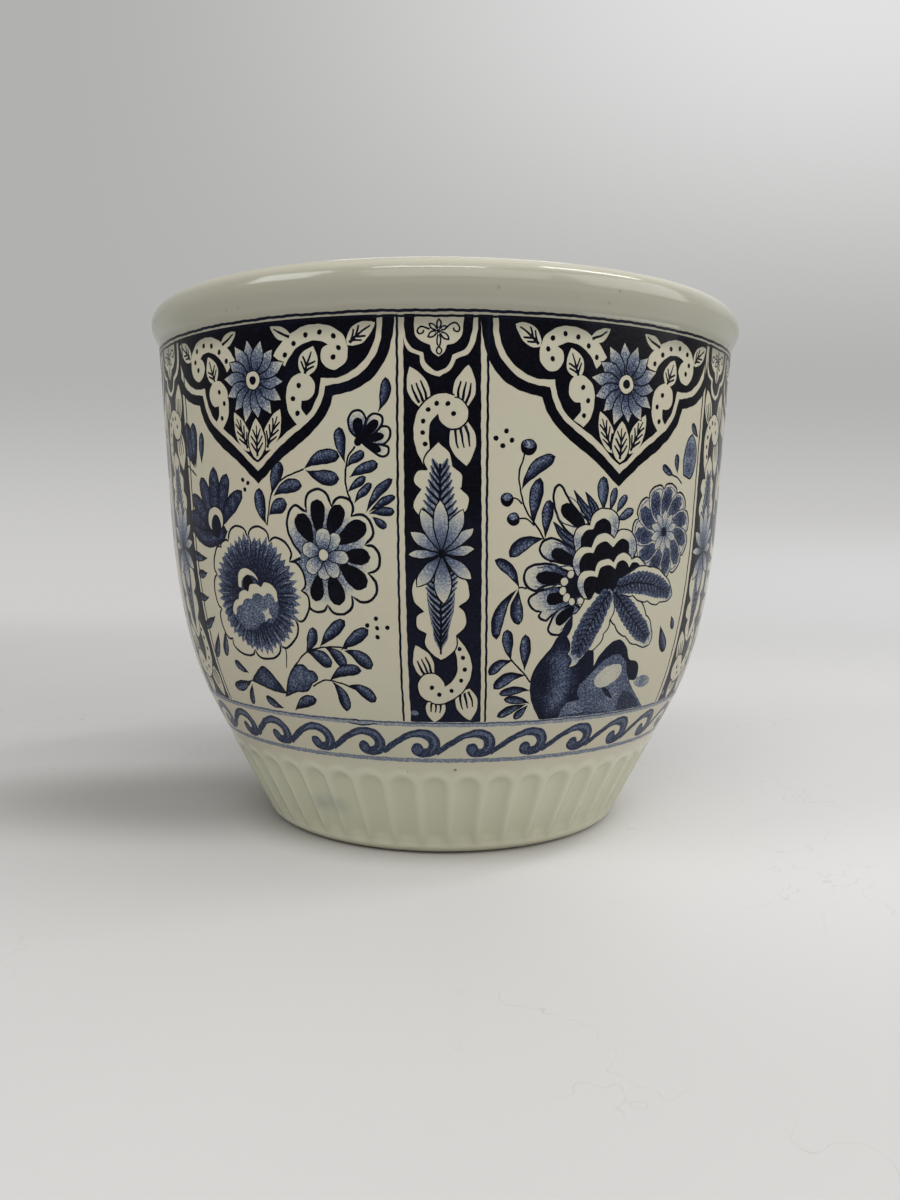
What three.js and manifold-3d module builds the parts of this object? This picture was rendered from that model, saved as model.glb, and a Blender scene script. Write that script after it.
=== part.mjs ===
// A blue and white earthenware flower pot: one slip-cast body with a rolled lip, a fluted skirt
// and a foot ring, and the sheets of printed decoration laid round its wall.
// Millimetres and degrees, +Z up. The origin is the middle of the face that the pot stands on.

import * as THREE from 'three';
import { mergeVertices } from 'three/addons/utils/BufferGeometryUtils.js';
import Module from 'manifold-3d';

// The whole pot
const potHeight = 170.3;

// Foot
const footInnerRadius = 50;
const footOuterRadius = 57.5;
const footRecessDepth = 2.5;
const footBevel = 1.2;

// Outside of the wall, as radii and the heights that they are measured at
const heelHeight = 3.5;
const heelRadius = 62.6;
const bendStartHeight = 42;
const bendStartRadius = 82;
const bendLowerEase = 13;
const bendUpperEase = 27;
const bendEndHeight = 103;
const bendEndRadius = 94.6;
const wallTopRadius = 97.65;

// Lip: it swells softly out of the wall to its widest, then rounds over to its crown
const lipOuterRadius = 100;
const lipSwellHeight = 7.1;
const lipCrownHeight = 5.9;
const lipCrownInset = 5.7;
const lipInnerRounding = 3;
const wallTopHeight = potHeight - lipSwellHeight - lipCrownHeight;

// Inside
const wallThickness = 6;
const floorThickness = 6.5;
const floorFillet = 8;

// Flutes pressed into the skirt
const fluteCount = 48;
const fluteFirstAngle = -1;
const fluteWidth = 7.2;
const fluteDepth = 0.9;
const fluteTopHeight = 27.5;
const fluteBottomHeight = 3;
const fluteRunOutStart = 0.6;

// Printed decoration
const printThickness = 0.4;
const printClearance = 0.3;
const borderBottomHeight = 32.8;
const borderHeight = 13.2;
const borderStripCount = 3;
const borderFirstJoint = -1.5;
const panelCount = 6;
const columnPrintAngle = 18.4;
const rimLineHeight = 1.2;
const rimLineGap = 0.6;
const rimLineDrop = 0.5;

// Facets
const turnSteps = 96;
const arcSteps = 3;
const bendSteps = 4;
const leastRow = 2;
const slopeReach = 0.5;
const fluteRows = 5;
const fluteColumns = 5;

// The tool that cuts a flute is wider than the flute and stands out of the wall
const cutterSpread = 1.3;
const cutterOverhang = 1.5;
const cutterEndWidth = 0.14;

// Colours, as sRGB
const creamGlaze = 0xa8a18b;
const panelPrintBlue = 0x77808f;
const columnPrintBlue = 0x1c2233;
const borderPrintBlue = 0x7f8896;
const rimLineBlue = 0x2b3550;

// The front is towards -Y, and the first column is there
const frontAngle = -90;

const radians = THREE.MathUtils.degToRad;
const wasm = await Module();
wasm.setup();

// Outside of the wall

const skirtSlope = (bendStartRadius - heelRadius) / (bendStartHeight - heelHeight);
const wallSlope = (wallTopRadius - bendEndRadius) / (wallTopHeight - bendEndHeight);
const bend = new THREE.CubicBezierCurve(
  new THREE.Vector2(bendStartRadius, bendStartHeight),
  new THREE.Vector2(bendStartRadius + skirtSlope * bendLowerEase, bendStartHeight + bendLowerEase),
  new THREE.Vector2(bendEndRadius - wallSlope * bendUpperEase, bendEndHeight - bendUpperEase),
  new THREE.Vector2(bendEndRadius, bendEndHeight),
);
const bendPoints = bend.getPoints(60);

// Radius of the pot's outside at a height between the floor and the lip
function outerRadius(height) {
  if (height < heelHeight) {
    const rise = Math.max(0, height) / heelHeight;
    return footOuterRadius + (heelRadius - footOuterRadius) * Math.sqrt(1 - (1 - rise) ** 2);
  }
  if (height <= bendStartHeight) {
    return heelRadius + skirtSlope * (height - heelHeight);
  }
  if (height >= bendEndHeight) {
    return bendEndRadius + wallSlope * (height - bendEndHeight);
  }
  const above = bendPoints.findIndex((point) => point.y >= height);
  const low = bendPoints[above - 1];
  const high = bendPoints[above];
  return THREE.MathUtils.mapLinear(height, low.y, high.y, low.x, high.x);
}

// Radius of the pot's inside, square to the wall by the wall's thickness
function innerRadius(height) {
  const rise = outerRadius(height + slopeReach) - outerRadius(height - slopeReach);
  return outerRadius(height) - wallThickness * Math.hypot(1, rise / (2 * slopeReach));
}

// Heights that follow the wall closely enough between two ends
function wallHeights(from, to) {
  const steps = bend.getPoints(bendSteps).map((point) => point.y);
  return [from, ...steps.filter((height) => height > from + leastRow && height < to - leastRow), to];
}

// Points along an arc of an ellipse with the half axes [across, up]
function arcPoints(centre, halfAxes, fromAngle, toAngle, steps) {
  const points = [];
  for (let i = 0; i <= steps; i += 1) {
    const angle = radians(fromAngle + ((toAngle - fromAngle) * i) / steps);
    points.push([centre[0] + halfAxes[0] * Math.cos(angle), centre[1] + halfAxes[1] * Math.sin(angle)]);
  }
  return points;
}

// Body

const printRecess = printThickness + printClearance;
const recessBottom = borderBottomHeight - printClearance;
const panelBottomHeight = borderBottomHeight + borderHeight;
const rimLineTop = wallTopHeight - rimLineDrop;
const rimLineBottom = rimLineTop - rimLineHeight;
const panelTopHeight = rimLineBottom - rimLineGap;
const recessTop = rimLineTop + printClearance;
const floorHeight = footRecessDepth + floorThickness;

function footOutline() {
  return [
    [0, footRecessDepth],
    [footInnerRadius - footBevel, footRecessDepth],
    [footInnerRadius, 0],
    [footOuterRadius, 0],
  ];
}

function heelOutline() {
  const points = [];
  for (let i = 1; i < arcSteps; i += 1) {
    const height = heelHeight * (1 - Math.cos(radians((90 * i) / arcSteps)));
    points.push([outerRadius(height), height]);
  }
  return points;
}

function wallOutline() {
  const skirt = wallHeights(heelHeight, recessBottom).map((height) => [outerRadius(height), height]);
  const backing = wallHeights(recessBottom, recessTop);
  const recess = backing.map((height) => [outerRadius(height) - printRecess, height]);
  return [...skirt, ...recess, [outerRadius(recessTop), recessTop]];
}

function lipOutline() {
  const widestHeight = wallTopHeight + lipSwellHeight;
  const crownRadius = lipOuterRadius - lipCrownInset;
  const swell = [];
  for (let i = 0; i < arcSteps; i += 1) {
    const rise = i / arcSteps;
    const out = (1 - Math.cos(Math.PI * rise)) / 2;
    const radius = THREE.MathUtils.lerp(wallTopRadius, lipOuterRadius, out);
    swell.push([radius, wallTopHeight + lipSwellHeight * rise]);
  }
  const over = arcPoints([crownRadius, widestHeight], [lipCrownInset, lipCrownHeight], 0, 90, arcSteps);
  const innerEdge = [crownRadius - innerRadius(wallTopHeight), lipInnerRounding];
  const innerCentre = [crownRadius, widestHeight + lipCrownHeight - lipInnerRounding];
  return [...swell, ...over, ...arcPoints(innerCentre, innerEdge, 90, 180, arcSteps).slice(1)];
}

function insideOutline() {
  const filletTop = floorHeight + floorFillet;
  const wall = wallHeights(filletTop, wallTopHeight).map((height) => [innerRadius(height), height]);
  const filletCentre = [innerRadius(filletTop) - floorFillet, filletTop];
  const fillet = arcPoints(filletCentre, [floorFillet, floorFillet], 0, -90, arcSteps).slice(1);
  return [...wall.reverse(), ...fillet, [0, floorHeight]];
}

// One closed surface of three.js as a solid that can be cut
function solidOf(geometry) {
  const bare = geometry.clone();
  bare.deleteAttribute('normal');
  bare.deleteAttribute('uv');
  const merged = mergeVertices(bare, 1e-4);
  const corners = merged.index.array;
  const kept = [];
  for (let i = 0; i < corners.length; i += 3) {
    const [a, b, c] = corners.slice(i, i + 3);
    if (a !== b && b !== c && c !== a) {
      kept.push(a, b, c);
    }
  }
  const mesh = new wasm.Mesh({
    numProp: 3,
    vertProperties: new Float32Array(merged.attributes.position.array),
    triVerts: new Uint32Array(kept),
  });
  return new wasm.Manifold(mesh);
}

function geometryOf(solid) {
  const mesh = solid.getMesh();
  const geometry = new THREE.BufferGeometry();
  geometry.setAttribute('position', new THREE.BufferAttribute(mesh.vertProperties, 3));
  geometry.setIndex(new THREE.BufferAttribute(mesh.triVerts, 1));
  geometry.computeVertexNormals();
  return geometry;
}

// A closed skin from two grids of points with the same rows: outer[row][column], inner[row][column]
function skinGeometry(outer, inner) {
  const rows = outer.length;
  const columns = outer[0].length;
  const positions = [...outer.flat(), ...inner.flat()].flat();
  const at = (side, row, column) => side * rows * columns + row * columns + column;
  const corners = [];
  const quad = (a, b, c, d) => corners.push(a, b, c, a, c, d);
  for (let row = 0; row < rows - 1; row += 1) {
    for (let column = 0; column < columns - 1; column += 1) {
      quad(at(0, row, column), at(0, row, column + 1), at(0, row + 1, column + 1), at(0, row + 1, column));
      quad(at(1, row, column), at(1, row + 1, column), at(1, row + 1, column + 1), at(1, row, column + 1));
    }
    quad(at(0, row, 0), at(0, row + 1, 0), at(1, row + 1, 0), at(1, row, 0));
    const end = columns - 1;
    quad(at(0, row, end), at(1, row, end), at(1, row + 1, end), at(0, row + 1, end));
  }
  for (let column = 0; column < columns - 1; column += 1) {
    quad(at(0, 0, column), at(1, 0, column), at(1, 0, column + 1), at(0, 0, column + 1));
    const top = rows - 1;
    quad(at(0, top, column), at(0, top, column + 1), at(1, top, column + 1), at(1, top, column));
  }
  const geometry = new THREE.BufferGeometry();
  geometry.setAttribute('position', new THREE.Float32BufferAttribute(positions, 3));
  geometry.setIndex(corners);
  geometry.computeVertexNormals();
  return geometry;
}

function onTurn(radius, angle, height) {
  return [radius * Math.cos(angle), radius * Math.sin(angle), height];
}

// What one flute takes away: a shallow trough with a round top that runs out over the heel
function fluteCutter() {
  const outer = [];
  const inner = [];
  for (let row = 0; row < fluteRows; row += 1) {
    const along = (row / (fluteRows - 1)) ** 2;
    const height = THREE.MathUtils.lerp(fluteTopHeight, fluteBottomHeight, along);
    const surface = outerRadius(height);
    const fromTop = Math.min(1, (fluteTopHeight - height) / (fluteWidth / 2));
    const roundTop = Math.max(cutterEndWidth, Math.sqrt(1 - (1 - fromTop) ** 2));
    const runOut = Math.max(0, (along - fluteRunOutStart) / (1 - fluteRunOutStart));
    const depth = fluteDepth * roundTop * (1 - runOut ** 2);
    const narrowing = surface / outerRadius(fluteTopHeight);
    const halfWidth = (fluteWidth / 2) * roundTop * narrowing;
    const outerRow = [];
    const innerRow = [];
    for (let column = 0; column < fluteColumns; column += 1) {
      const across = ((column / (fluteColumns - 1)) * 2 - 1) * cutterSpread;
      const angle = (across * halfWidth) / surface;
      outerRow.push(onTurn(surface + cutterOverhang, angle, height));
      innerRow.push(onTurn(surface - depth * (1 - across ** 2), angle, height));
    }
    outer.unshift(outerRow);
    inner.unshift(innerRow);
  }
  return skinGeometry(outer, inner);
}

function bodyGeometry() {
  const outline = [...footOutline(), ...heelOutline(), ...wallOutline(), ...lipOutline(), ...insideOutline()];
  const points = outline.map(([radius, height]) => new THREE.Vector2(radius, height));
  const turned = new THREE.LatheGeometry(points, turnSteps);
  turned.rotateX(Math.PI / 2);
  let solid = solidOf(turned);
  for (let i = 0; i < fluteCount; i += 1) {
    const cutter = fluteCutter();
    cutter.rotateZ(radians(frontAngle + fluteFirstAngle + (360 * i) / fluteCount));
    solid = solid.subtract(solidOf(cutter));
  }
  return geometryOf(solid);
}

// Printed sheets

// A thin sheet laid on the wall between two angles and two heights
function wallSheet(fromAngle, toAngle, bottom, top) {
  const steps = Math.max(2, Math.round((toAngle - fromAngle) / (360 / turnSteps)));
  const outer = [];
  const inner = [];
  for (const height of wallHeights(bottom, top)) {
    const outerRow = [];
    const innerRow = [];
    for (let i = 0; i <= steps; i += 1) {
      const angle = radians(fromAngle + ((toAngle - fromAngle) * i) / steps);
      outerRow.push(onTurn(outerRadius(height), angle, height));
      innerRow.push(onTurn(outerRadius(height) - printThickness, angle, height));
    }
    outer.push(outerRow);
    inner.push(innerRow);
  }
  return skinGeometry(outer, inner);
}

// Half of the gap between two neighbouring sheets, as an angle
function sideGap(height) {
  return THREE.MathUtils.radToDeg(printClearance / 2 / outerRadius(height));
}

function rimLineGeometry() {
  const points = [
    [outerRadius(rimLineBottom), rimLineBottom],
    [outerRadius(rimLineTop), rimLineTop],
    [outerRadius(rimLineTop) - printThickness, rimLineTop],
    [outerRadius(rimLineBottom) - printThickness, rimLineBottom],
    [outerRadius(rimLineBottom), rimLineBottom],
  ];
  const ring = new THREE.LatheGeometry(points.map(([x, y]) => new THREE.Vector2(x, y)), turnSteps);
  ring.rotateX(Math.PI / 2);
  return geometryOf(solidOf(ring));
}

function glazed(color, roughness) {
  return new THREE.MeshStandardMaterial({ color, roughness, metalness: 0 });
}

const pot = new THREE.Group();

function addPiece(name, geometry, material) {
  const piece = new THREE.Mesh(geometry, material);
  piece.name = name;
  pot.add(piece);
}

addPiece('earthenware_body', bodyGeometry(), glazed(creamGlaze, 0.25));
addPiece('rim_line_print', rimLineGeometry(), glazed(rimLineBlue, 0.25));

const panelPitch = 360 / panelCount;
for (let i = 0; i < panelCount; i += 1) {
  const columnMiddle = frontAngle + panelPitch * i;
  const halfColumn = columnPrintAngle / 2;
  const gap = sideGap(panelBottomHeight);
  const bottom = panelBottomHeight + printClearance;
  const columnSheet = wallSheet(
    columnMiddle - halfColumn + gap,
    columnMiddle + halfColumn - gap,
    bottom,
    panelTopHeight,
  );
  addPiece(`column_print_${i + 1}`, columnSheet, glazed(columnPrintBlue, 0.25));
  const panelSheet = wallSheet(
    columnMiddle + halfColumn + gap,
    columnMiddle + panelPitch - halfColumn - gap,
    bottom,
    panelTopHeight,
  );
  addPiece(`panel_print_${i + 1}`, panelSheet, glazed(panelPrintBlue, 0.25));
}

for (let i = 0; i < borderStripCount; i += 1) {
  const from = frontAngle + borderFirstJoint + (360 / borderStripCount) * i;
  const gap = sideGap(borderBottomHeight);
  const strip = wallSheet(
    from + gap,
    from + 360 / borderStripCount - gap,
    borderBottomHeight,
    panelBottomHeight,
  );
  addPiece(`wave_border_print_${i + 1}`, strip, glazed(borderPrintBlue, 0.25));
}

export default pot;
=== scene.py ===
"""Looks for a blue and white earthenware flower pot.

The cast body is turned from its profile by a Geometry Nodes tree, which also presses the flutes into
the skirt. Each printed sheet is drawn flat, as outlines laid over each other in millimetres, cut into
one mesh with an ink tone at each corner, and wrapped onto the wall by a second tree.
Heights are above the table. Across the wall, millimetres are measured round a circle of radius 96.
"""

import math

import bpy
import numpy as np
from bpy.props import FloatProperty, FloatVectorProperty, IntProperty, PointerProperty
from bpy.types import Operator, Panel, PropertyGroup
from mathutils import Matrix, Vector
from mathutils.geometry import delaunay_2d_cdt


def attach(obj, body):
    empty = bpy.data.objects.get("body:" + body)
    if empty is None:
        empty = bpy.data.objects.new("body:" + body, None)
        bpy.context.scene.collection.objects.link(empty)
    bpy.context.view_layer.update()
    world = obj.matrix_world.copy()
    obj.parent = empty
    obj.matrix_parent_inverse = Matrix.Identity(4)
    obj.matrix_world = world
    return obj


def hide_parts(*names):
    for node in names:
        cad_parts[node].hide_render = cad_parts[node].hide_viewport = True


bl_info = {
    "name": "Blue and white flower pot",
    "version": (1, 0, 0),
    "blender": (4, 5, 0),
    "location": "View3D > Sidebar > Flower pot",
    "description": "Turns the pot, prints its sheets and sets the stage",
    "category": "Object",
}

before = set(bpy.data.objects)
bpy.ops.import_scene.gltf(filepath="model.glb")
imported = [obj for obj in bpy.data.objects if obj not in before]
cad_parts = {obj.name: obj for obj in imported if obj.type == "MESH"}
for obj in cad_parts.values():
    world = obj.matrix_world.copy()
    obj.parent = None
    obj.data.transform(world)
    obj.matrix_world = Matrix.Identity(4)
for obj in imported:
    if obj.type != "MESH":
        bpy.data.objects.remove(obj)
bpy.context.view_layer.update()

MM = 0.001
RULE_RADIUS = 96.0


# Outside of the pot, in millimetres

HEEL_HEIGHT = 3.5
HEEL_RADIUS = 62.6
FOOT_RADIUS = 57.5
BEND_START = (82.0, 42.0)
BEND_END = (94.6, 103.0)
BEND_LOWER_EASE = 13.0
BEND_UPPER_EASE = 27.0
WALL_TOP = (97.65, 157.3)
LIP_RADIUS = 100.0
LIP_SWELL = 7.1
LIP_CROWN = 5.9
LIP_CROWN_INSET = 5.7
LIP_INNER_ROUNDING = 3.0
SKIRT_SLOPE = (BEND_START[0] - HEEL_RADIUS) / (BEND_START[1] - HEEL_HEIGHT)
WALL_SLOPE = (WALL_TOP[0] - BEND_END[0]) / (WALL_TOP[1] - BEND_END[1])

# Foot ring and underside
FOOT_EDGE = [(56.5, 0.0), (51.0, 0.0), (50.0, 0.35), (48.8, 2.2), (48.0, 2.5)]
UNDERSIDE_HEIGHT = 2.5
INNER_FILLET = 8.0

# Printed zones
RECESS_BOTTOM = 32.5
PANEL_BOTTOM = 46.0
PANEL_TOP = 155.3
RIM_LINE_TOP = 156.95
RECESS_DEPTH = 0.7
TOP_LINE_HEIGHT = 154.85

# How the prints share the turn, in degrees
PANEL_COUNT = 6
PANEL_PITCH = 60
COLUMN_HALF_ANGLE = 9.2
BORDER_STRIPS = 3
WAVE_COUNT = 32

# Glaze zones and zones of painted light and shade: heights where a tint starts and where it is full. The
# skirt tint is paler towards the foot, the cove and lip tints are painted shade and the top tint is painted
# light.
SKIRT_TINT_HEIGHTS = (26.0, 34.0)
COVE_SHADE_HEIGHTS = (149.0, 154.5, 157.5, 161.5)
LIP_SHADE_HEIGHTS = (156.0, 160.0)
TOP_LIGHT_HEIGHTS = (166.0, 169.2)
WIPED_FOOT = (0.7, 1.3)
WIPED_INNER_RADIUS = (48.0, 49.0)

# Small marks in the glaze
KILN_SPECKS = [
    (14.6, -98.3, 161.9), (-56.0, -80.8, 159.8), (-59.9, -77.9, 159.8),
    (47.2, -88.0, 163.4), (44.3, -88.0, 160.3), (4.6, -76.0, 30.3),
]
SMUDGE_PLACE = (-34.0, -65.0, 15.0)
SMUDGE_REACH = (9.0, 40.0, 5.0)


def bend_points(count=160):
    """The cubic bend between the skirt and the wall, as (radius, height)."""
    t = np.linspace(0, 1, count)[:, None]
    start = np.array(BEND_START)
    end = np.array(BEND_END)
    below = start + BEND_LOWER_EASE * np.array([SKIRT_SLOPE, 1])
    above = end - BEND_UPPER_EASE * np.array([WALL_SLOPE, 1])
    return (1 - t) ** 3 * start + 3 * (1 - t) ** 2 * t * below + 3 * (1 - t) * t ** 2 * above + t ** 3 * end


BEND = bend_points()


def wall_radius(height):
    """Radius of the pot's outside at a height below the lip."""
    z = np.asarray(height, float)
    rise = np.clip(z / HEEL_HEIGHT, 0, 1)
    heel = FOOT_RADIUS + (HEEL_RADIUS - FOOT_RADIUS) * np.sqrt(1 - (1 - rise) ** 2)
    skirt = HEEL_RADIUS + SKIRT_SLOPE * (z - HEEL_HEIGHT)
    bend = np.interp(z, BEND[:, 1], BEND[:, 0])
    upper = BEND_END[0] + WALL_SLOPE * (z - BEND_END[1])
    radius = np.where(z < HEEL_HEIGHT, heel, skirt)
    radius = np.where(z > BEND_START[1], bend, radius)
    return np.where(z > BEND_END[1], upper, radius)


def wall_slope(height):
    """How fast the radius grows with height."""
    reach = 0.4
    return (wall_radius(height + reach) - wall_radius(height - reach)) / (2 * reach)


# Node boards

class Wire:
    """One output of a node. Python's operators on it add Math nodes to its board."""

    def __init__(self, board, socket):
        self.board = board
        self.socket = socket

    def __add__(self, other):
        return self.board.math("ADD", self, other)

    def __radd__(self, other):
        return self.board.math("ADD", other, self)

    def __sub__(self, other):
        return self.board.math("SUBTRACT", self, other)

    def __rsub__(self, other):
        return self.board.math("SUBTRACT", other, self)

    def __mul__(self, other):
        return self.board.math("MULTIPLY", self, other)

    def __truediv__(self, other):
        return self.board.math("DIVIDE", self, other)

    def __rtruediv__(self, other):
        return self.board.math("DIVIDE", other, self)

    def __pow__(self, other):
        return self.board.math("POWER", self, other)

    def __neg__(self):
        return self.board.math("MULTIPLY", self, -1.0)

    def clamped(self):
        """This value kept between 0 and 1."""
        return self.board.math("MINIMUM", self.board.math("MAXIMUM", self, 0.0), 1.0)


def opaque(colour):
    """A colour with full alpha. A wire stays as it is."""
    return colour if isinstance(colour, Wire) else (*colour[:3], 1.0)


class Board:
    """A node tree with one method that adds any node."""

    def __init__(self, tree):
        self.tree = tree
        self.nodes = tree.nodes
        self.links = tree.links

    def add(self, kind, settings=None, inputs=None, output=0):
        """Adds a node, sets its settings first and then its sockets, and gives one of its outputs."""
        node = self.nodes.new(kind)
        for key, value in (settings or {}).items():
            if key == "stops":
                self.set_stops(node.color_ramp, value)
            else:
                setattr(node, key, value)
        for key, value in (inputs or {}).items():
            socket = node.inputs[key]
            if isinstance(value, Wire):
                self.links.new(value.socket, socket)
            else:
                socket.default_value = value
        return Wire(self, node.outputs[output]) if node.outputs else node

    @staticmethod
    def set_stops(ramp, stops):
        while len(ramp.elements) < len(stops):
            ramp.elements.new(0.5)
        for element, (position, colour) in zip(ramp.elements, stops):
            element.position = position
            element.color = opaque(colour)

    def math(self, operation, *values):
        return self.add("ShaderNodeMath", {"operation": operation}, dict(enumerate(values)))

    def vector_math(self, operation, *values, output=0):
        return self.add("ShaderNodeVectorMath", {"operation": operation}, dict(enumerate(values)), output)

    def length(self, vector):
        return self.vector_math("LENGTH", vector, output="Value")

    def parts(self, vector):
        """The x, y and z of a vector."""
        node = self.add("ShaderNodeSeparateXYZ", None, {0: vector}).socket.node
        return [Wire(self, output) for output in node.outputs]

    def mix(self, factor, first, second):
        """A colour between two colours."""
        inputs = {0: factor, 6: opaque(first), 7: opaque(second)}
        return self.add("ShaderNodeMix", {"data_type": "RGBA"}, inputs, 2)

    def step(self, value, low, high):
        """0 below low, 1 above high and smooth between them."""
        settings = {"interpolation_type": "SMOOTHSTEP"}
        return self.add("ShaderNodeMapRange", settings, {0: value, 1: low, 2: high})

    def fall(self, value, low, high):
        """1 below low, 0 above high and smooth between them."""
        return 1.0 - self.step(value, low, high)

    def noise(self, vector, scale, detail=2.0, roughness=0.5):
        inputs = {"Vector": vector, "Scale": scale, "Detail": detail, "Roughness": roughness}
        return self.add("ShaderNodeTexNoise", {"noise_dimensions": "3D"}, inputs, "Fac")

    def cells(self, vector, scale):
        """Distance to the nearest of a scatter of points."""
        return self.add("ShaderNodeTexVoronoi", {"feature": "F1"}, {"Vector": vector, "Scale": scale},
                        "Distance")

    def attribute(self, name):
        """A value that the mesh carries, in a material."""
        return self.add("ShaderNodeAttribute", {"attribute_name": name}, None, "Fac")

    def camera_share(self, *kinds):
        """1 for camera rays and the other kinds named, 0 for the rest."""
        path = self.add("ShaderNodeLightPath").socket.node
        share = Wire(self, path.outputs["Is Camera Ray"])
        for kind in kinds:
            share = share + Wire(self, path.outputs[kind])
        return share.clamped()

    def named(self, name):
        """A value that the mesh carries, in a Geometry Nodes tree."""
        return self.add("GeometryNodeInputNamedAttribute", {"data_type": "FLOAT"}, {"Name": name})

    def store(self, geometry, name, value, kind="FLOAT", domain="POINT"):
        """The geometry with a value stored under a name."""
        settings = {"data_type": kind, "domain": domain}
        inputs = {"Geometry": geometry, "Name": name, "Value": value}
        return self.add("GeometryNodeStoreNamedAttribute", settings, inputs)

    def round_place(self, turn, radius, height):
        """A place on the pot, by its turn from the front in radians, its radius and its height."""
        inputs = {0: self.math("SINE", turn) * radius, 1: -(self.math("COSINE", turn) * radius),
                  2: height}
        return self.add("ShaderNodeCombineXYZ", None, inputs)

    def end_tree(self, geometry, finish):
        """Ends a Geometry Nodes tree in real geometry with one material."""
        real = self.add("GeometryNodeRealizeInstances", None, {"Geometry": geometry})
        dressed = self.add("GeometryNodeSetMaterial", None, {"Geometry": real, "Material": finish})
        self.add("NodeGroupOutput", None, {0: dressed})


def linear(red, green, blue):
    """A colour as it is seen on screen, 0 to 255, as the linear colour that a node takes."""
    def channel(value):
        part = value / 255
        return part / 12.92 if part <= 0.04045 else ((part + 0.055) / 1.055) ** 2.4
    return (channel(red), channel(green), channel(blue), 1.0)


def new_material(name):
    material = bpy.data.materials.new(name)
    material.use_nodes = True
    material.node_tree.nodes.clear()
    return material, Board(material.node_tree)


# Glaze and print

def place_in_mm(board):
    """Object coordinates in millimetres."""
    place = board.add("ShaderNodeTexCoord", None, None, "Object")
    return board.add("ShaderNodeVectorMath", {"operation": "SCALE"}, {0: place, "Scale": 1 / MM})


def distance_from_axis(board, place):
    return board.length(board.vector_math("MULTIPLY", place, (1.0, 1.0, 0.0)))


def cream_glaze(board, place, look):
    """Colour of the cream glaze: warm, with faint clouds, painted shade in the cove under the lip and a
    scatter of kiln specks.
    """
    clouds = board.step(board.noise(place, 0.022, 3.0), 0.35, 0.68)
    warm = board.mix(clouds, look.cream, look.cream_thin)
    mottle = board.step(board.noise(place, 0.35, 2.0), 0.3, 0.75)
    mottled = board.mix(mottle * 0.35, warm, look.cream_deep)
    height = board.parts(place)[2]
    # Painted shade: the glaze is greyed in the cove under the lip, where shade falls.
    rise_from, rise_to, fall_from, fall_to = COVE_SHADE_HEIGHTS
    cove = board.step(height, rise_from, rise_to) * board.fall(height, fall_from, fall_to)
    greyed = board.mix(cove * 0.6, mottled, look.cove_painted_shade)
    dot = board.fall(board.cells(place, 0.062), 0.012, 0.03)
    speck = dot * board.step(board.noise(place, 0.09, 1.0), 0.52, 0.6)
    return board.mix(speck * 0.6, greyed, (0.05, 0.045, 0.04))


def finish_glazed(board, place, colour, roughness, shine):
    """Ends a board in one glazed surface with the slow ripple of a dipped glaze and a little orange peel."""
    ripple = board.noise(place, 0.045, 1.5) * 0.8 + board.noise(place, 0.6, 1.0) * 0.06
    bump = board.add("ShaderNodeBump", None, {"Strength": 0.35, "Distance": 0.0012, "Height": ripple})
    surface = board.add("ShaderNodeBsdfPrincipled", None, {
        "Base Color": colour,
        "Roughness": roughness,
        "Normal": bump,
        "IOR": 1.5,
        "Specular IOR Level": shine,
    })
    board.add("ShaderNodeOutputMaterial", None, {"Surface": surface})


def body_material(look):
    """Cream glaze, pooled in the flutes, thin on sharp edges with a painted highlight on the ridges, with
    painted shade on the lip and painted light along its top, wiped off the foot ring.
    """
    material, board = new_material("cream_glazed_clay")
    place = place_in_mm(board)
    height = board.parts(place)[2]
    glaze = cream_glaze(board, place, look)
    for speck in KILN_SPECKS:
        away = board.vector_math("DISTANCE", place, speck, output="Value")
        glaze = board.mix(board.fall(away, 0.35, 0.6) * 0.8, glaze, linear(58, 54, 50))
    shift = board.vector_math("SUBTRACT", place, SMUDGE_PLACE)
    from_smudge = board.vector_math("DIVIDE", shift, SMUDGE_REACH)
    smudge = board.fall(board.length(from_smudge), 0.2, 1.0) * board.noise(place, 0.25, 3.0)
    tints = (
        (board.attribute("hollow") * 0.7, look.glaze_pool),
        # Paler glaze where it runs thin over the ridges, and a painted highlight on them.
        (board.attribute("ridge") * 0.5, look.ridge_thin_glaze_and_highlight),
        # A paler, greener tint, full below 26 mm and gone above 34 mm.
        (board.fall(height, *SKIRT_TINT_HEIGHTS) * 0.35, look.skirt_pale_tint),
        # Painted shade: the lip is tinted darker than the wall from 156 mm up.
        (board.step(height, *LIP_SHADE_HEIGHTS) * 0.8, look.lip_painted_shade),
        # Painted light: the top of the lip is tinted paler, as if lit from above.
        (board.step(height, *TOP_LIGHT_HEIGHTS) * 0.7, look.top_painted_light),
        (smudge * 0.5, look.print_mid),
    )
    for share, tint in tints:
        glaze = board.mix(share, glaze, tint)
    ragged_height = height + board.noise(place, 0.4, 2.0)
    outer_foot = board.step(distance_from_axis(board, place), *WIPED_INNER_RADIUS)
    bare = board.fall(ragged_height, *WIPED_FOOT) * outer_foot
    biscuit = board.mix(board.noise(place, 2.2, 3.0, 0.6), look.biscuit, look.biscuit_dark)
    colour = board.mix(bare, glaze, biscuit)
    roughness = 0.09 + bare * 0.65 + (1.0 - bare) * board.noise(place, 0.08, 2.0) * 0.06
    finish_glazed(board, place, colour, roughness, 0.5)
    return material


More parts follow.
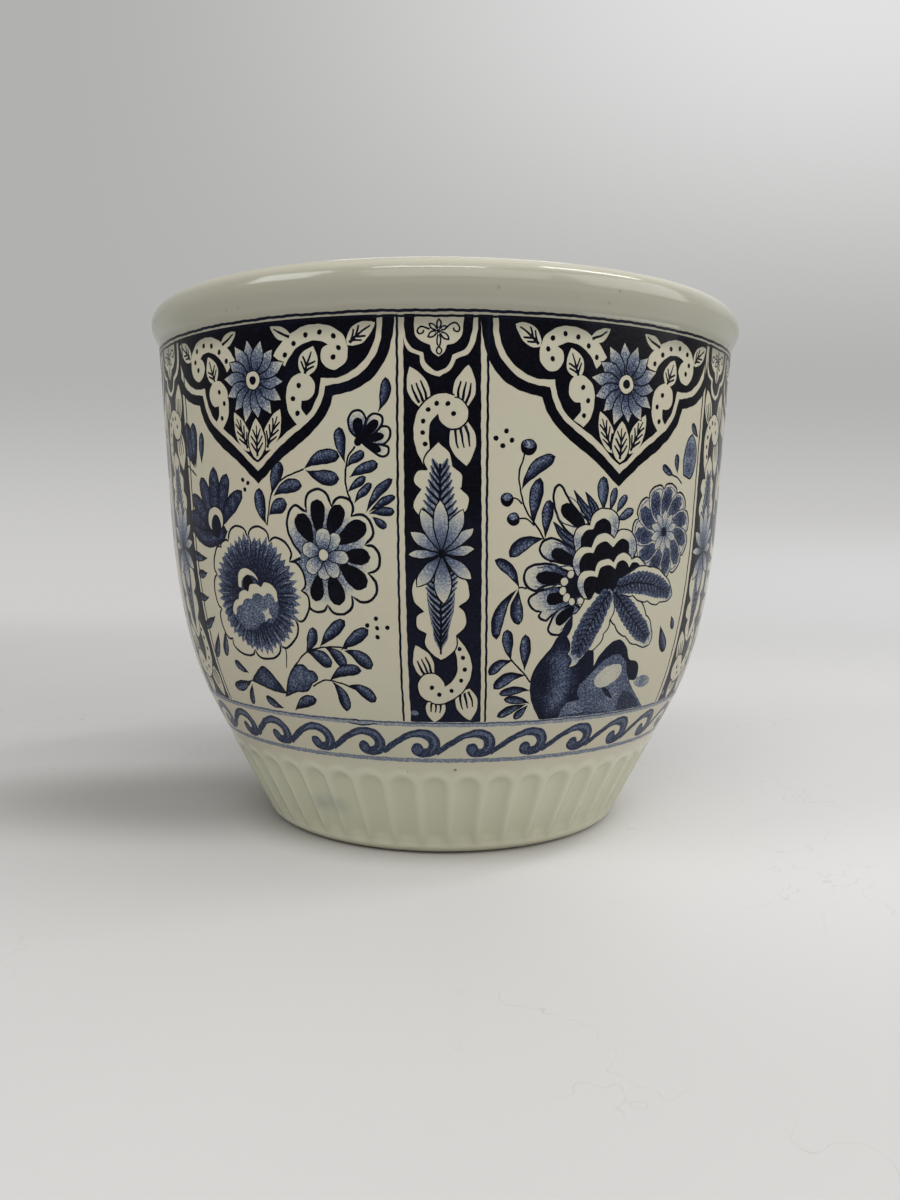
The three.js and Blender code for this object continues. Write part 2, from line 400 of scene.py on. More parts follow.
def print_material(name, look, grain_share):
    """Cobalt print under clear glaze. The ink attribute runs from 0, bare cream, to 1, full ink."""
    material, board = new_material(name)
    place = place_in_mm(board)
    ink = board.attribute("ink")
    middle_tones = ink * (1.0 - ink) * 4.0
    stipple = (board.cells(place, 2.1) - 0.42) * middle_tones * (-grain_share)
    worn = board.step(board.noise(place, 1.3, 2.0, 0.6), 0.45, 0.8) * 0.05
    faded = board.step(board.noise(place, 0.09, 2.0), 0.5, 0.8) * 0.03
    tone = (ink + stipple - (worn + faded) * board.step(ink, 0.75, 1.0)).clamped()
    lightest_ink = 0.25
    stops = [
        (0.0, (0.0, 0.0, 0.0)),
        (lightest_ink, look.print_pale),
        (0.5, look.print_mid),
        (0.7, look.print_deep),
        (0.85, look.print_navy),
        (1.0, look.print_black),
    ]
    inked = board.math("MAXIMUM", tone, lightest_ink)
    blue = board.add("ShaderNodeValToRGB", {"stops": stops}, {"Fac": inked}, "Color")
    cover = (tone / lightest_ink).clamped()
    colour = board.mix(cover, cream_glaze(board, place, look), blue)
    roughness = 0.15 + board.noise(place, 0.08, 2.0) * 0.08
    finish_glazed(board, place, colour, roughness, 0.07)
    return material


# Flat drawing, in millimetres

def curve(points, closed=False, step=0.7):
    """Points along a smooth line through the given ones."""
    given = np.array(points, float)
    if closed:
        given = np.vstack([given, given[:1]])
        around = np.vstack([given[-2:-1], given, given[1:2]])
    else:
        around = np.vstack([2 * given[0] - given[1], given, 2 * given[-1] - given[-2]])
    chords = np.linalg.norm(np.diff(around, axis=0), axis=1)
    tangents = (around[2:] - around[:-2]) / (chords[1:] + chords[:-1])[:, None]
    pieces = []
    for i in range(len(given) - 1):
        length = chords[i + 1]
        parts = max(2, math.ceil(length / step))
        t = np.arange(parts)[:, None] / parts
        first = (2 * t ** 3 - 3 * t ** 2 + 1) * given[i] + (t ** 3 - 2 * t ** 2 + t) * length * tangents[i]
        second = (3 * t ** 2 - 2 * t ** 3) * given[i + 1] + (t ** 3 - t ** 2) * length * tangents[i + 1]
        pieces.append(first + second)
    if not closed:
        pieces.append(given[-1:])
    return np.vstack(pieces)


def joined(*sides, step=0.7):
    """One outline from smooth sides that meet in points."""
    return np.vstack([curve(side, step=step)[:-1] for side in sides])


def pointed(*sides):
    """A closed outline of smooth sides that meet in points. A side is given without its first point:
    it starts where the side before it ends, and the first side starts where the last one ends."""
    starts = [sides[-1][-1]] + [side[-1] for side in sides[:-1]]
    return joined(*[[start, *side] for start, side in zip(starts, sides)])


def mirrored(points):
    """The points on the other side of the middle line, in the opposite order."""
    return [(-x, z) for x, z in reversed(points)]


def turned(points, angle, centre=(0, 0)):
    """Points turned about a centre by an angle in degrees, counted against the clock."""
    turn = math.radians(angle)
    matrix = np.array([[math.cos(turn), math.sin(turn)], [-math.sin(turn), math.cos(turn)]])
    return (np.array(points, float)) @ matrix + np.array(centre, float)


def signed_area(outline):
    x, z = outline[:, 0], outline[:, 1]
    return 0.5 * np.sum(x * np.roll(z, -1) - np.roll(x, -1) * z)


def inset(outline, distance):
    """The outline moved inwards by a distance."""
    points = np.array(outline, float)
    ahead = np.roll(points, -1, axis=0) - points
    ahead /= np.maximum(np.linalg.norm(ahead, axis=1), 1e-9)[:, None]
    across = np.stack([-ahead[:, 1], ahead[:, 0]], axis=1)
    middle = across + np.roll(across, 1, axis=0)
    length = np.maximum(np.linalg.norm(middle, axis=1), 0.6)[:, None]
    side = 1 if signed_area(points) > 0 else -1
    return points + side * distance * middle / length


def ellipse(centre, across, up=None, tilt=0.0):
    up = across if up is None else up
    steps = max(8, int(2 * math.pi * max(across, up) / 0.6))
    angles = np.linspace(0, 2 * math.pi, steps, endpoint=False)
    points = np.stack([across * np.cos(angles), up * np.sin(angles)], axis=1)
    return turned(points, tilt, centre)


def ribbon(points, widths):
    """The outline of a brush stroke along a smooth line, with widths spread evenly along it."""
    spine = curve(points)
    ahead = np.gradient(spine, axis=0)
    ahead /= np.maximum(np.linalg.norm(ahead, axis=1), 1e-9)[:, None]
    across = np.stack([-ahead[:, 1], ahead[:, 0]], axis=1)
    run = np.concatenate([[0], np.cumsum(np.linalg.norm(np.diff(spine, axis=0), axis=1))])
    run /= run[-1]
    widths = np.atleast_1d(widths)
    half = np.interp(run, np.linspace(0, 1, len(widths)), widths)[:, None] / 2
    return np.vstack([spine + across * half, (spine - across * half)[::-1]])


def along(base, tip, bend=0.0, count=9):
    """Places along a bowed line from base to tip, and the directions square to it."""
    base = np.array(base, float)
    tip = np.array(tip, float)
    span = tip - base
    length = np.linalg.norm(span)
    side = np.array([-span[1], span[0]]) / length
    t = np.linspace(0, 1, count)[:, None]
    spine = base + span * t + side * bend * length * 4 * t * (1 - t)
    ahead = span / length + side * bend * 4 * (1 - 2 * t)
    ahead /= np.linalg.norm(ahead, axis=1)[:, None]
    across = np.stack([-ahead[:, 1], ahead[:, 0]], axis=1)
    return spine, across


def two_sided(spine, reach):
    """A closed outline as far to each side of a spine as the given vectors reach."""
    return np.vstack([spine + reach, (spine - reach)[::-1][1:-1]])


def glow(seeds, reach, core, edge):
    """A tone that is core at the seeds and runs out to edge at a distance."""
    seeds = np.array(seeds, float).reshape(-1, 2)

    def tone(points):
        gaps = np.linalg.norm(points[:, None, :] - seeds[None, :, :], axis=2).min(axis=1)
        share = np.clip(1 - gaps / reach, 0, 1)
        return edge + (core - edge) * share
    return tone


def radial(centre, stops):
    """A tone that changes with the distance from a centre: stops are (distance, tone)."""
    distances = [stop[0] for stop in stops]
    tones = [stop[1] for stop in stops]

    def tone(points):
        return np.interp(np.linalg.norm(points - np.array(centre), axis=1), distances, tones)
    return tone


def wobble(points):
    """The small waver of a hand-cut plate. It repeats with the designs, three times round the pot."""
    x, z = points[:, 0], points[:, 1]
    across = 0.06 * np.sin(87 * x / RULE_RADIUS + 0.7 * z) + 0.05 * np.sin(1.9 * z - 42 * x / RULE_RADIUS)
    up = 0.06 * np.sin(0.8 * z + 72 * x / RULE_RADIUS + 1.0) + 0.05 * np.sin(204 * x / RULE_RADIUS + 0.5 * z)
    return points + np.stack([across, up], axis=1)


def rising(low, high, low_tone, high_tone):
    """A tone that changes with the height on the wall."""
    def tone(points):
        return np.interp(points[:, 1], [low, high], [low_tone, high_tone])
    return tone


def round_tipped(width, widest, count, base_power=1.25):
    """Half widths of a leaf or a drop: narrow at its base, round at its tip."""
    t = np.linspace(0, 1, count)
    base = np.sin(np.pi / 2 * np.clip(t / widest, 0, 1)) ** base_power
    tip = np.sqrt(np.clip(1 - (np.clip(t - widest, 0, 1) / (1 - widest)) ** 2, 0, 1))
    return width / 2 * np.where(t < widest, base, tip)[:, None]


def drop(base, tip, width, widest=0.68, base_power=0.8):
    spine, across = along(base, tip, count=15)
    half = round_tipped(width, widest, len(spine), base_power)
    return two_sided(spine, across * half)


# Tones of the print

CREAM = 0.0
INK = 1.0


class Pen:
    """Lays marks for one design, measured from the design's own middle line. A later mark covers
    an earlier one."""

    def __init__(self, marks, middle=0.0, side=1):
        self.marks = marks
        self.middle = middle
        self.side = side

    def placed(self, points):
        out = np.array(points, float).reshape(-1, 2)
        out[:, 0] = self.middle + self.side * out[:, 0]
        return out

    def fill(self, outline, tone, seeds=None):
        """An outline filled with a tone: a number, or a function of the place. Seeds are points that
        the mesh gets inside the outline, so that a tone that changes can be told at them."""
        outer = wobble(self.placed(outline))
        if signed_area(outer) < 0:
            outer = outer[::-1]
        inner = None if seeds is None else wobble(self.placed(seeds))
        self.marks.append((outer, tone, inner, self.middle, self.side))

    def lit(self, outline, seeds, reach, core, edge):
        """An outline that is core at its seeds and runs out to edge at a distance from them."""
        self.fill(outline, glow(seeds, reach, core, edge), seeds)

    def outlined(self, outline, line, fill, seeds=None, line_tone=0.97):
        """A fill with a line inside its edge."""
        self.fill(outline, line_tone)
        self.fill(inset(outline, line), fill, seeds)

    def rimmed(self, outline, fill, seeds=None, line=0.45, line_tone=1.0):
        """A fill with a line outside its edge."""
        self.fill(inset(outline, -line), line_tone)
        self.fill(outline, fill, seeds)

    def stroke(self, points, widths=0.6, tone=0.98):
        """A brush stroke along a smooth line."""
        self.fill(ribbon(points, widths), tone)

    def dot(self, centre, radius=0.7, tone=INK):
        self.fill(ellipse(centre, radius), tone)

    def dots(self, centres, radius=0.7):
        for centre in centres:
            self.dot(centre, radius)

    def leaf(self, base, tip, width, bend=0.0, light=0.72, dark=0.96):
        """A printed leaf: narrow at its base, round at its tip, with a paler streak along it."""
        spine, across = along(base, tip, bend, 15)
        half = round_tipped(width, 0.66, 15)
        streak = spine[5:13] + across[5:13] * width * 0.18
        self.fill(two_sided(spine, across * half), 0.97)
        inside_line = across * np.maximum(half - 0.4, 0.08)
        inner = np.vstack([(spine + inside_line)[2:14], (spine - inside_line)[2:14][::-1]])
        self.lit(inner, streak, width * 0.4, light - 0.05, dark)

    def cream_leaf(self, base, tip, width, veins=3, bend=0.0):
        """A cream leaf on the dark ground, pointed at both ends, with a rib and side veins."""
        t = np.linspace(0, 1, 13)
        spine, across = along(base, tip, bend, 13)
        half = width / 2 * np.sin(np.pi * t ** 0.85)[:, None] ** 0.8
        self.fill(two_sided(spine, across * half), CREAM)
        rib = [spine[1], spine[5], spine[10]]
        self.stroke(rib, [0.85, 0.65, 0.4])
        for k in range(veins):
            start = 2 + 2 * k
            root = spine[start]
            for side in (1, -1):
                reach = spine[start + 3] + side * across[start + 3] * half[start + 3] * 0.74
                self.stroke([root, (root + reach) / 2 + 0.02, reach], [0.7, 0.5])

    def striped_leaf(self, base, tip, width, stripes=3):
        """A cream leaf with stripes that run out from its base."""
        t = np.linspace(0, 1, 13)
        spine, across = along(base, tip, 0.0, 13)
        half = width / 2 * np.clip(np.sin(np.pi * (0.16 + 0.84 * t)), 0, 1)[:, None] ** 0.85
        self.fill(np.vstack([spine + across * half, (spine - across * half)[::-1][1:]]), CREAM)
        for k in range(stripes):
            shift = (k - (stripes - 1) / 2) / stripes * 1.5
            last = 8 if k == stripes // 2 else 7
            path = spine[1:last + 1] + across[1:last + 1] * half[1:last + 1] * shift
            self.stroke(path[::2], [0.8, 0.65, 0.4])


def lobed(centre, lobes, tip_radius, cusp_radius, first=0.0, per_lobe=9):
    """An outline of round lobes that meet in cusps. first is the direction of the first lobe's tip."""
    pitch = 360 / lobes
    points = []
    for lobe in range(lobes):
        for i in range(per_lobe):
            share = i / per_lobe * 2 - 1
            angle = math.radians(first + lobe * pitch + share * pitch / 2)
            radius = cusp_radius + (tip_radius - cusp_radius) * math.sqrt(1 - share ** 2)
            points.append((centre[0] + radius * math.cos(angle), centre[1] + radius * math.sin(angle)))
    return np.array(points)


def scallops(marks):
    """Round lobes between notches. A mark (x, z, rise) is a notch and how far the next lobe stands out."""
    sides = []
    for (x, z, rise), (next_x, next_z, _) in zip(marks, marks[1:] + marks[:1]):
        start = np.array([x, z])
        half = (np.array([next_x, next_z]) - start) / 2
        out = np.array([-half[1], half[0]]) / np.linalg.norm(half) * rise
        turn = np.linspace(0, math.pi, 13)[:-1, None]
        swell = 1 + 0.18 * np.sin(turn)
        sides.append(start + half - half * np.cos(turn) * swell + out * np.sin(turn))
    return np.vstack(sides)


def petal(centre, angle, start, end, width, widest=0.6, count=11, point=0.8):
    """A long petal that points away from a centre."""
    direction = np.array([math.cos(math.radians(angle)), math.sin(math.radians(angle))])
    side = np.array([-direction[1], direction[0]])
    t = np.linspace(0, 1, count)
    power = math.log(0.5) / math.log(widest)
    half = width / 2 * np.sin(np.pi * t ** power) ** point
    spine = np.array(centre) + direction * (start + (end - start) * t)[:, None]
    return two_sided(spine, side * half[:, None])


# The pointed hanging at the top of each flower panel

def draw_hanging(pen, daisy_centre, left_share):
    """Dark pointed hanging with a cream band, hooks, commas, leaves and a daisy."""
    outer = [
        [(42, 156.5), (42, 155), (41.5, 150), (40.2, 145.3), (38.6, 142.3), (36, 139.2), (32, 136.7),
         (28.2, 135.5), (25.1, 135.0)],
        [(25.1, 135.0), (23.8, 131.5), (21.8, 128.7), (18.5, 125.5), (14.2, 122.3), (10, 119.7),
         (6, 116.9), (3, 114.4), (0, 112.1)],
    ]
    band = [
        [(38.9, 156.5), (38.9, 155), (38.5, 150), (37.2, 145.6), (34.8, 142.4), (31.9, 139.9),
         (28, 138.4), (23, 137.6)],
        [(23, 137.6), (22.2, 134.9), (20.9, 132.1), (18.8, 129.5), (15.2, 126.8), (10, 123.4), (6, 120.4),
         (2, 117.1), (0, 115.6)],
    ]
    ground = [
        [(37.5, 156.5), (37.5, 155), (37.1, 150.5), (35.7, 146.5), (33.4, 143.4), (30.1, 141),
         (26.3, 139.6), (21.7, 139.6)],
        [(21.7, 139.6), (21.1, 136.5), (20, 133.8), (17.9, 130.7), (14.2, 128), (10, 125.4), (6, 122.4),
         (2.5, 119.3), (0, 117.9)],
    ]
    for sides, tone in ((outer, INK), (band, CREAM), (ground, INK)):
        left = [mirrored(side) for side in reversed(sides)]
        pen.fill(joined(*sides, *left), tone)
    for side in (1.0, -left_share):
        half = Pen(pen.marks, pen.middle, pen.side * side)
        draw_hook(half)
        draw_comma(half)
        half.cream_leaf((13.2, 150.6), (6.4, 153.8), 3.4, 0, 0.04)
        half.cream_leaf((29.4, 147.8), (37.0, 153.3), 4.9, 2, 0.05)
        half.cream_leaf((16.6, 140.4), (19.6, 148.0), 5.8, 2)
        half.cream_leaf((3.2, 121.0), (8.6, 132.0), 5.2, 3)
    pen.fill(inset(petal((0, 118.3), 90, 0, 11.6, 6.2, 0.5), -0.45), INK)
    pen.cream_leaf((0, 118.6), (0, 129.9), 6.0, 3)
    draw_daisy(pen, daisy_centre)


def draw_hook(pen):
    """Cream hook with a round end and a row of dots."""
    hook = pointed(
        [(9.6, 149.2), (13.2, 151.7), (17, 153.2), (21.3, 153.6), (25.2, 152.6), (28.2, 150.4),
         (29.5, 147), (29.0, 143.9), (26.2, 141.8), (23.4, 142.4), (21.8, 144.8), (22.3, 147.1),
         (24.0, 148.2)],
        [(21.6, 149.2), (18.6, 149.3), (15.4, 148.2), (12.6, 145.9), (10.8, 143.2)],
        [(7.2, 146.2)],
    )
    pen.rimmed(hook, CREAM)
    pen.dots([(10.9, 146.2), (13.9, 148.9), (17.5, 151.0), (21.6, 151.5), (25.6, 150.3), (26.9, 147.3),
              (25.4, 144.9)], 0.75)


def draw_comma(pen):
    """Cream comma with a round head and three dots."""
    comma = pointed(
        [(11.6, 130.8), (10.9, 134.6), (11.6, 138.6), (14.4, 140.9), (17.4, 141.0), (19.6, 138.9),
         (19.6, 136.0), (17.8, 134.2), (15.6, 134.1)],
        [(15.6, 131.6), (17.6, 129.4)],
        [(14.2, 127.6)],
    )
    pen.fill(comma, CREAM)
    pen.dots([(15.0, 138.0), (13.0, 134.6), (14.3, 130.7)], 0.75)


def draw_daisy(pen, centre):
    """Blue daisy with pointed pale-tipped petals round a ringed eye."""
    count = 14
    for k in range(count):
        angle = 90 + 360 / count * (k + 0.3)
        length = 10.9 + 0.7 * math.sin(k * 2.4)
        shape = petal(centre, angle, 1.5, length, 3.9, 0.52, point=1.15)
        pen.rimmed(shape, radial(centre, [(2, 0.88), (5.0, 0.7), (8.0, 0.52), (10.0, 0.2), (11.2, 0.0)]),
                   [petal_point(centre, angle, r) for r in (3.5, 5.5, 7.5, 9.4)], 0.4)
    pen.outlined(ellipse(centre, 2.75), 0.3, CREAM)
    pen.dot(centre, 1.25)


def petal_point(centre, angle, distance):
    turn = math.radians(angle)
    return (centre[0] + distance * math.cos(turn), centre[1] + distance * math.sin(turn))


# The upright dark column

def draw_column_ground(pen):
    """Thin upright lines and the dark ground between them."""
    left_edge = [(-9.75, 157), (-9.75, 120), (-9.4, 80), (-9.0, 40)]
    right_edge = [(10, 157), (10.75, 120), (11.4, 95), (12, 70), (13.2, 46), (13.4, 40)]
    lower_edge = [left_edge[-1], right_edge[-1]]
    upper_edge = [right_edge[0], left_edge[0]]
    ground = joined(left_edge, lower_edge, right_edge[::-1], upper_edge)
    # Painted reflection: the dark ground is lighter towards the bottom, as if it reflects the table.
    pen.fill(ground, rising(46, 110, 0.93, 1.0))
    pen.stroke([(-11.4, 157), (-11.4, 120), (-11.35, 80), (-11.3, 40)], 0.68, 0.97)
    pen.stroke([(12, 157), (12.35, 120), (12.75, 95), (13.7, 65), (14.6, 48), (14.9, 40)], 0.68, 0.97)


def draw_cartouche(pen):
    """Lobed shield at the top of the column, with a six-petal flower and two curls."""
    thin_band = joined(
        [(-10, 156.6), (-9.5, 148), (-8, 145.9), (-5.6, 144.9)],
        [(-5.6, 144.9), (-5.1, 142.2), (-3, 140.3), (-0.4, 139.6)],
        [(-0.4, 139.6), (2.4, 141.3), (3.7, 144)],
        [(3.7, 144), (7, 145.5), (8.9, 149.3), (9.4, 156.6)],
    )
    dark_band = joined(
        [(-9.5, 156.6), (-9.25, 149.7), (-7.6, 146.8), (-4.7, 145.6)],
        [(-4.7, 145.6), (-4, 143), (-2.0, 141.3), (-0.5, 140.9), (1.4, 141.9), (3, 145.1)],
        [(3, 145.1), (5.75, 146.3), (7.6, 149.7), (8.2, 156.6)],
    )
    shield = joined(
        [(-6.9, 156.6), (-6.75, 150.5), (-5.1, 148.4), (-2.8, 147.6)],
        [(-2.8, 147.6), (-2.4, 145.9), (-0.7, 144.5)],
        [(-0.7, 144.5), (0.75, 145.9), (1.4, 147.4)],
        [(1.4, 147.4), (3.7, 148.2), (5.3, 150.5), (5.8, 156.6)],
    )
    pen.fill(thin_band, CREAM)
    pen.fill(dark_band, INK)
    pen.fill(shield, CREAM)
    centre = (-0.65, 151.0)
    for angle, length, width in ((90, 3.3, 1.5), (146, 3.3, 1.6), (206, 3.4, 1.7), (270, 4.3, 1.5),
                                 (320, 3.7, 1.7), (32, 2.6, 1.4)):
        pen.outlined(petal(centre, angle, 0.0, length, width, 0.55), 0.46, 0.04, line_tone=0.96)
    pen.stroke([(1.2, 151.8), (2.2, 152.8), (3.8, 153.0), (4.7, 151.9), (4.2, 150.9), (3.2, 151.2),
                (3.1, 151.9)], 0.48, 0.96)
    pen.stroke([(-3.0, 151.4), (-4.2, 151.9), (-5.4, 152.1), (-6.2, 151.2), (-5.6, 150.3), (-4.7, 150.6),
                (-4.6, 151.3)], 0.48, 0.96)
    pen.outlined(ellipse((-0.65, 146.1), 0.85, 1.1), 0.42, 0.04, line_tone=0.96)


def draw_column_scrolls(pen):
    """The two dotted scrolls of the column, with their striped leaves."""
    pen.striped_leaf((-4.3, 132.4), (-8.1, 142.0), 5.6)
    pen.striped_leaf((5.4, 132.2), (7.1, 142.6), 5.8)
    rim = 0.9
    upper_widths = np.array([4.4, 4.6, 4.4, 4.2, 3.9, 3.4, 2.0])
    upper = [(3.1, 132.6), (0.5, 133.0), (-2.6, 131.5), (-4.7, 128.2), (-5.1, 124.5), (-4.5, 120.5),
             (-3.6, 117.4)]
    pen.fill(ribbon(upper, upper_widths + rim), INK)
    pen.striped_leaf((5.0, 127.8), (6.9, 116.8), 7.0)
    pen.fill(ellipse((3.2, 130.2), 4.4), INK)
    pen.fill(ribbon(upper, upper_widths), CREAM)
    pen.fill(ellipse((3.2, 130.3), 3.95), CREAM)
    pen.dots([(-1.1, 132.7), (1.8, 132.6), (3.3, 130.1), (-3.3, 131.1), (-4.6, 128.2), (-4.8, 125.2),
              (-4.1, 122.2)], 0.68)
    pen.striped_leaf((-3.0, 59.6), (-6.9, 68.4), 5.8)
    pen.striped_leaf((-0.8, 53.0), (-1.5, 46.0), 6.2)
    pen.striped_leaf((7.4, 55.6), (10.0, 46.5), 6.8)
    lower_widths = np.array([4.4, 4.4, 4.4, 4.3, 4.2, 3.9, 3.2, 1.6])
    lower = [(-2.0, 54.2), (0.4, 53.9), (3.8, 55.4), (6.6, 58.4), (7.5, 61.9), (6.9, 65.4), (5.4, 68.8),
             (4.6, 70.4)]
    pen.fill(ribbon(lower, lower_widths + rim), INK)
    pen.fill(ellipse((-2.4, 56.4), 4.5), INK)
    pen.fill(ribbon(lower, lower_widths), CREAM)
    pen.fill(ellipse((-2.4, 56.4), 4.05), CREAM)
    beads = [(-2.25, 56.4), (0, 54.3), (3.8, 55.6), (6.5, 58.5), (7.5, 61.7), (6.8, 65.0), (5.8, 67.5)]
    pen.dots(beads, 0.68)
    pen.fill(ellipse((-7.8, 48.7), 1.3, 0.8), 0.55)


def feather(pen, rib_x, base_z, tip_z, widest, narrowest):
    """Blue barbs and dark strokes that run out along a rib, shorter towards its tip."""
    heading = 1 if tip_z > base_z else -1
    count = int(abs(tip_z - base_z) / 1.65)
    pen.fill(petal((rib_x, base_z), 90 * heading, -3.0, abs(tip_z - base_z), widest * 1.5, 0.3, 15), 0.62)
    for stroke in (False, True):
        for k in range(count):
            share = k / count
            z = base_z + (tip_z - base_z) * share
            reach = widest + (narrowest - widest) * share
            for side in (reach, -reach):
                start = (rib_x, z)
                middle = (rib_x + side * 0.6, z + 2.0)
                end = (rib_x + side, z + 3.8)
                if stroke:
                    pen.stroke([start, middle, end], [0.8, 0.65, 0.25])
                else:
                    pen.fill(ribbon([start, middle, end], [1.5, 1.7, 0.6]),
                             glow([start, middle], 2.2, 0.68, 0.34), [middle])
    pen.stroke([(rib_x, base_z), (rib_x, tip_z + 0.6 * heading)], 0.65)


def draw_feather_leaves(pen):
    """The two lobed leaves with blue herringbone feathers, above and below the lotus."""
    upper = pointed(
        [(2.4, 119.9), (3, 116.5)],
        [(5.6, 114.4), (5.5, 111.4), (5.1, 110.9)],
        [(7.4, 108.6), (7.2, 105.6), (5.4, 103.6)],
        [(0, 101), (-5.4, 103.6)],
        [(-7.0, 105.6), (-6.5, 108.4), (-4.9, 110.5)],
        [(-6.9, 112.4), (-6.2, 115.0), (-3.4, 115.5)],
        [(-4.2, 118.4), (-0.6, 122.8)],
    )
    pen.rimmed(upper, CREAM)
    feather(pen, -0.1, 102.0, 116.6, 4.8, 1.6)
    lower = pointed(
        [(-7.6, 84.5), (-7.0, 80.6), (-4.25, 77.9)],
        [(-6.4, 76.2), (-6.2, 73.4), (-3.6, 71.8)],
        [(-4.2, 69.2), (-2.6, 66.6), (0.4, 64.4)],
        [(3.6, 66.4), (4.9, 68.9), (4.7, 71.4)],
        [(7.2, 73.8), (7.2, 77.4), (5.3, 79.3)],
        [(8.0, 81.6), (7.7, 85.6), (6.4, 87.4)],
        [(0, 89), (-6.4, 87)],
    )
    pen.rimmed(lower, CREAM)
    feather(pen, 0.4, 86.0, 66.6, 5.2, 1.6)


def draw_lotus(pen):
    """The pointed star flower in the middle of the column."""
    centre = (0.5, 93.5)
    tips = [
        ((-8.5, 93.3), 2.2), ((9.3, 94.9), 2.4), ((-7.9, 99.2), 2.9), ((9.0, 100.3), 2.7),
        ((-5.1, 105.2), 3.4), ((6.1, 105.1), 3.7), ((-6.2, 84.7), 3.4), ((8.7, 86.8), 3.2),
        ((0, 107.6), 3.8), ((1.1, 80.3), 4.6),
    ]
    for (x, z), width in tips:
        angle = math.degrees(math.atan2(z - centre[1], x - centre[0]))
        length = math.hypot(x - centre[0], z - centre[1])
        shape = petal(centre, angle, 0.6, length, width, 0.6, 13)
        shade = radial(centre, [(1, 0.8), (length * 0.45, 0.52), (length * 0.8, 0.2), (length, 0.0)])
        seeds = [petal_point(centre, angle, length * share) for share in (0.3, 0.5, 0.7, 0.85)]
        pen.rimmed(shape, shade, seeds, 0.4)
    pen.dot(centre, 1.2)


def draw_column(pen):
    draw_column_ground(pen)
    draw_cartouche(pen)
    draw_column_scrolls(pen)
    draw_feather_leaves(pen)
    draw_lotus(pen)
    pen.stroke([(-15.6, TOP_LINE_HEIGHT), (0, TOP_LINE_HEIGHT - 0.05), (15.6, TOP_LINE_HEIGHT)], 0.65)


# First flower panel: scalloped flower and peony

def draw_scalloped_flower(pen):
    """Scalloped flower with near-black drops and a small flower inside. The peony hides its left side."""
    centre = (20.9, 92.7)
    lobes = scallops([
        (15.7, 104.8, 5.4), (23.8, 106.2, 3.9), (29.9, 103.6, 4.4), (33.3, 95.7, 4.0), (34.5, 87.9, 5.3),
        (29.1, 81.4, 4.0), (21.3, 78.8, 2.4), (14.8, 79.0, 0.5), (9.9, 90.6, 0.2), (13.9, 92.1, 5.0),
    ])
    left_lobe = curve([(13.9, 92.1), (11.0, 95.4), (9.2, 99.8), (9.8, 104.2), (12.6, 106.6), (15.7, 104.8)])
    rim = np.vstack([lobes[:-12], left_lobe[:-1]])
    pen.outlined(rim, 0.8, radial(centre, [(5, 0.66), (8.5, 0.52), (11.5, 0.3), (13.2, 0.04), (14, 0.0)]),
                 np.vstack([ellipse(centre, 8.5), ellipse(centre, 11.5)]))
    drops = (
        ((17.8, 95.8), (13.2, 103.8), 5.2), ((19.8, 98.0), (19.4, 107.9), 4.6),
        ((22.6, 97.5), (26.5, 106.3), 4.9),
        ((24.6, 95.6), (33.6, 101.4), 5.4), ((26.0, 92.6), (34.8, 92.4), 4.6),
        ((25.6, 90.6), (33.4, 84.2), 5.5),
        ((22.8, 88.0), (25.2, 79.0), 5.1), ((19.4, 88.0), (17.6, 79.8), 4.3),
    )
    for base, tip, width in drops:
        pen.fill(drop(base, tip, width), INK)
    for angle, length, width in ((-90, 7.1, 4.4), (163, 7.1, 4.7), (-138, 7.3, 4.6), (-55, 7.4, 4.4),
                                 (-6, 7.9, 4.1), (50, 7.7, 4.2), (90, 7.6, 4.9)):
        tip = petal_point(centre, angle, length)
        shape = drop(centre, tip, width, 0.66, 0.7)
        pen.outlined(shape, 0.32, radial(centre, [(1.5, 0.8), (3.5, 0.5), (6, 0.2), (7.6, 0.05)]),
                     [petal_point(centre, angle, r) for r in (2.6, 4.2, 6.0)], 0.95)
    pen.outlined(ellipse(centre, 1.75), 0.28, CREAM)


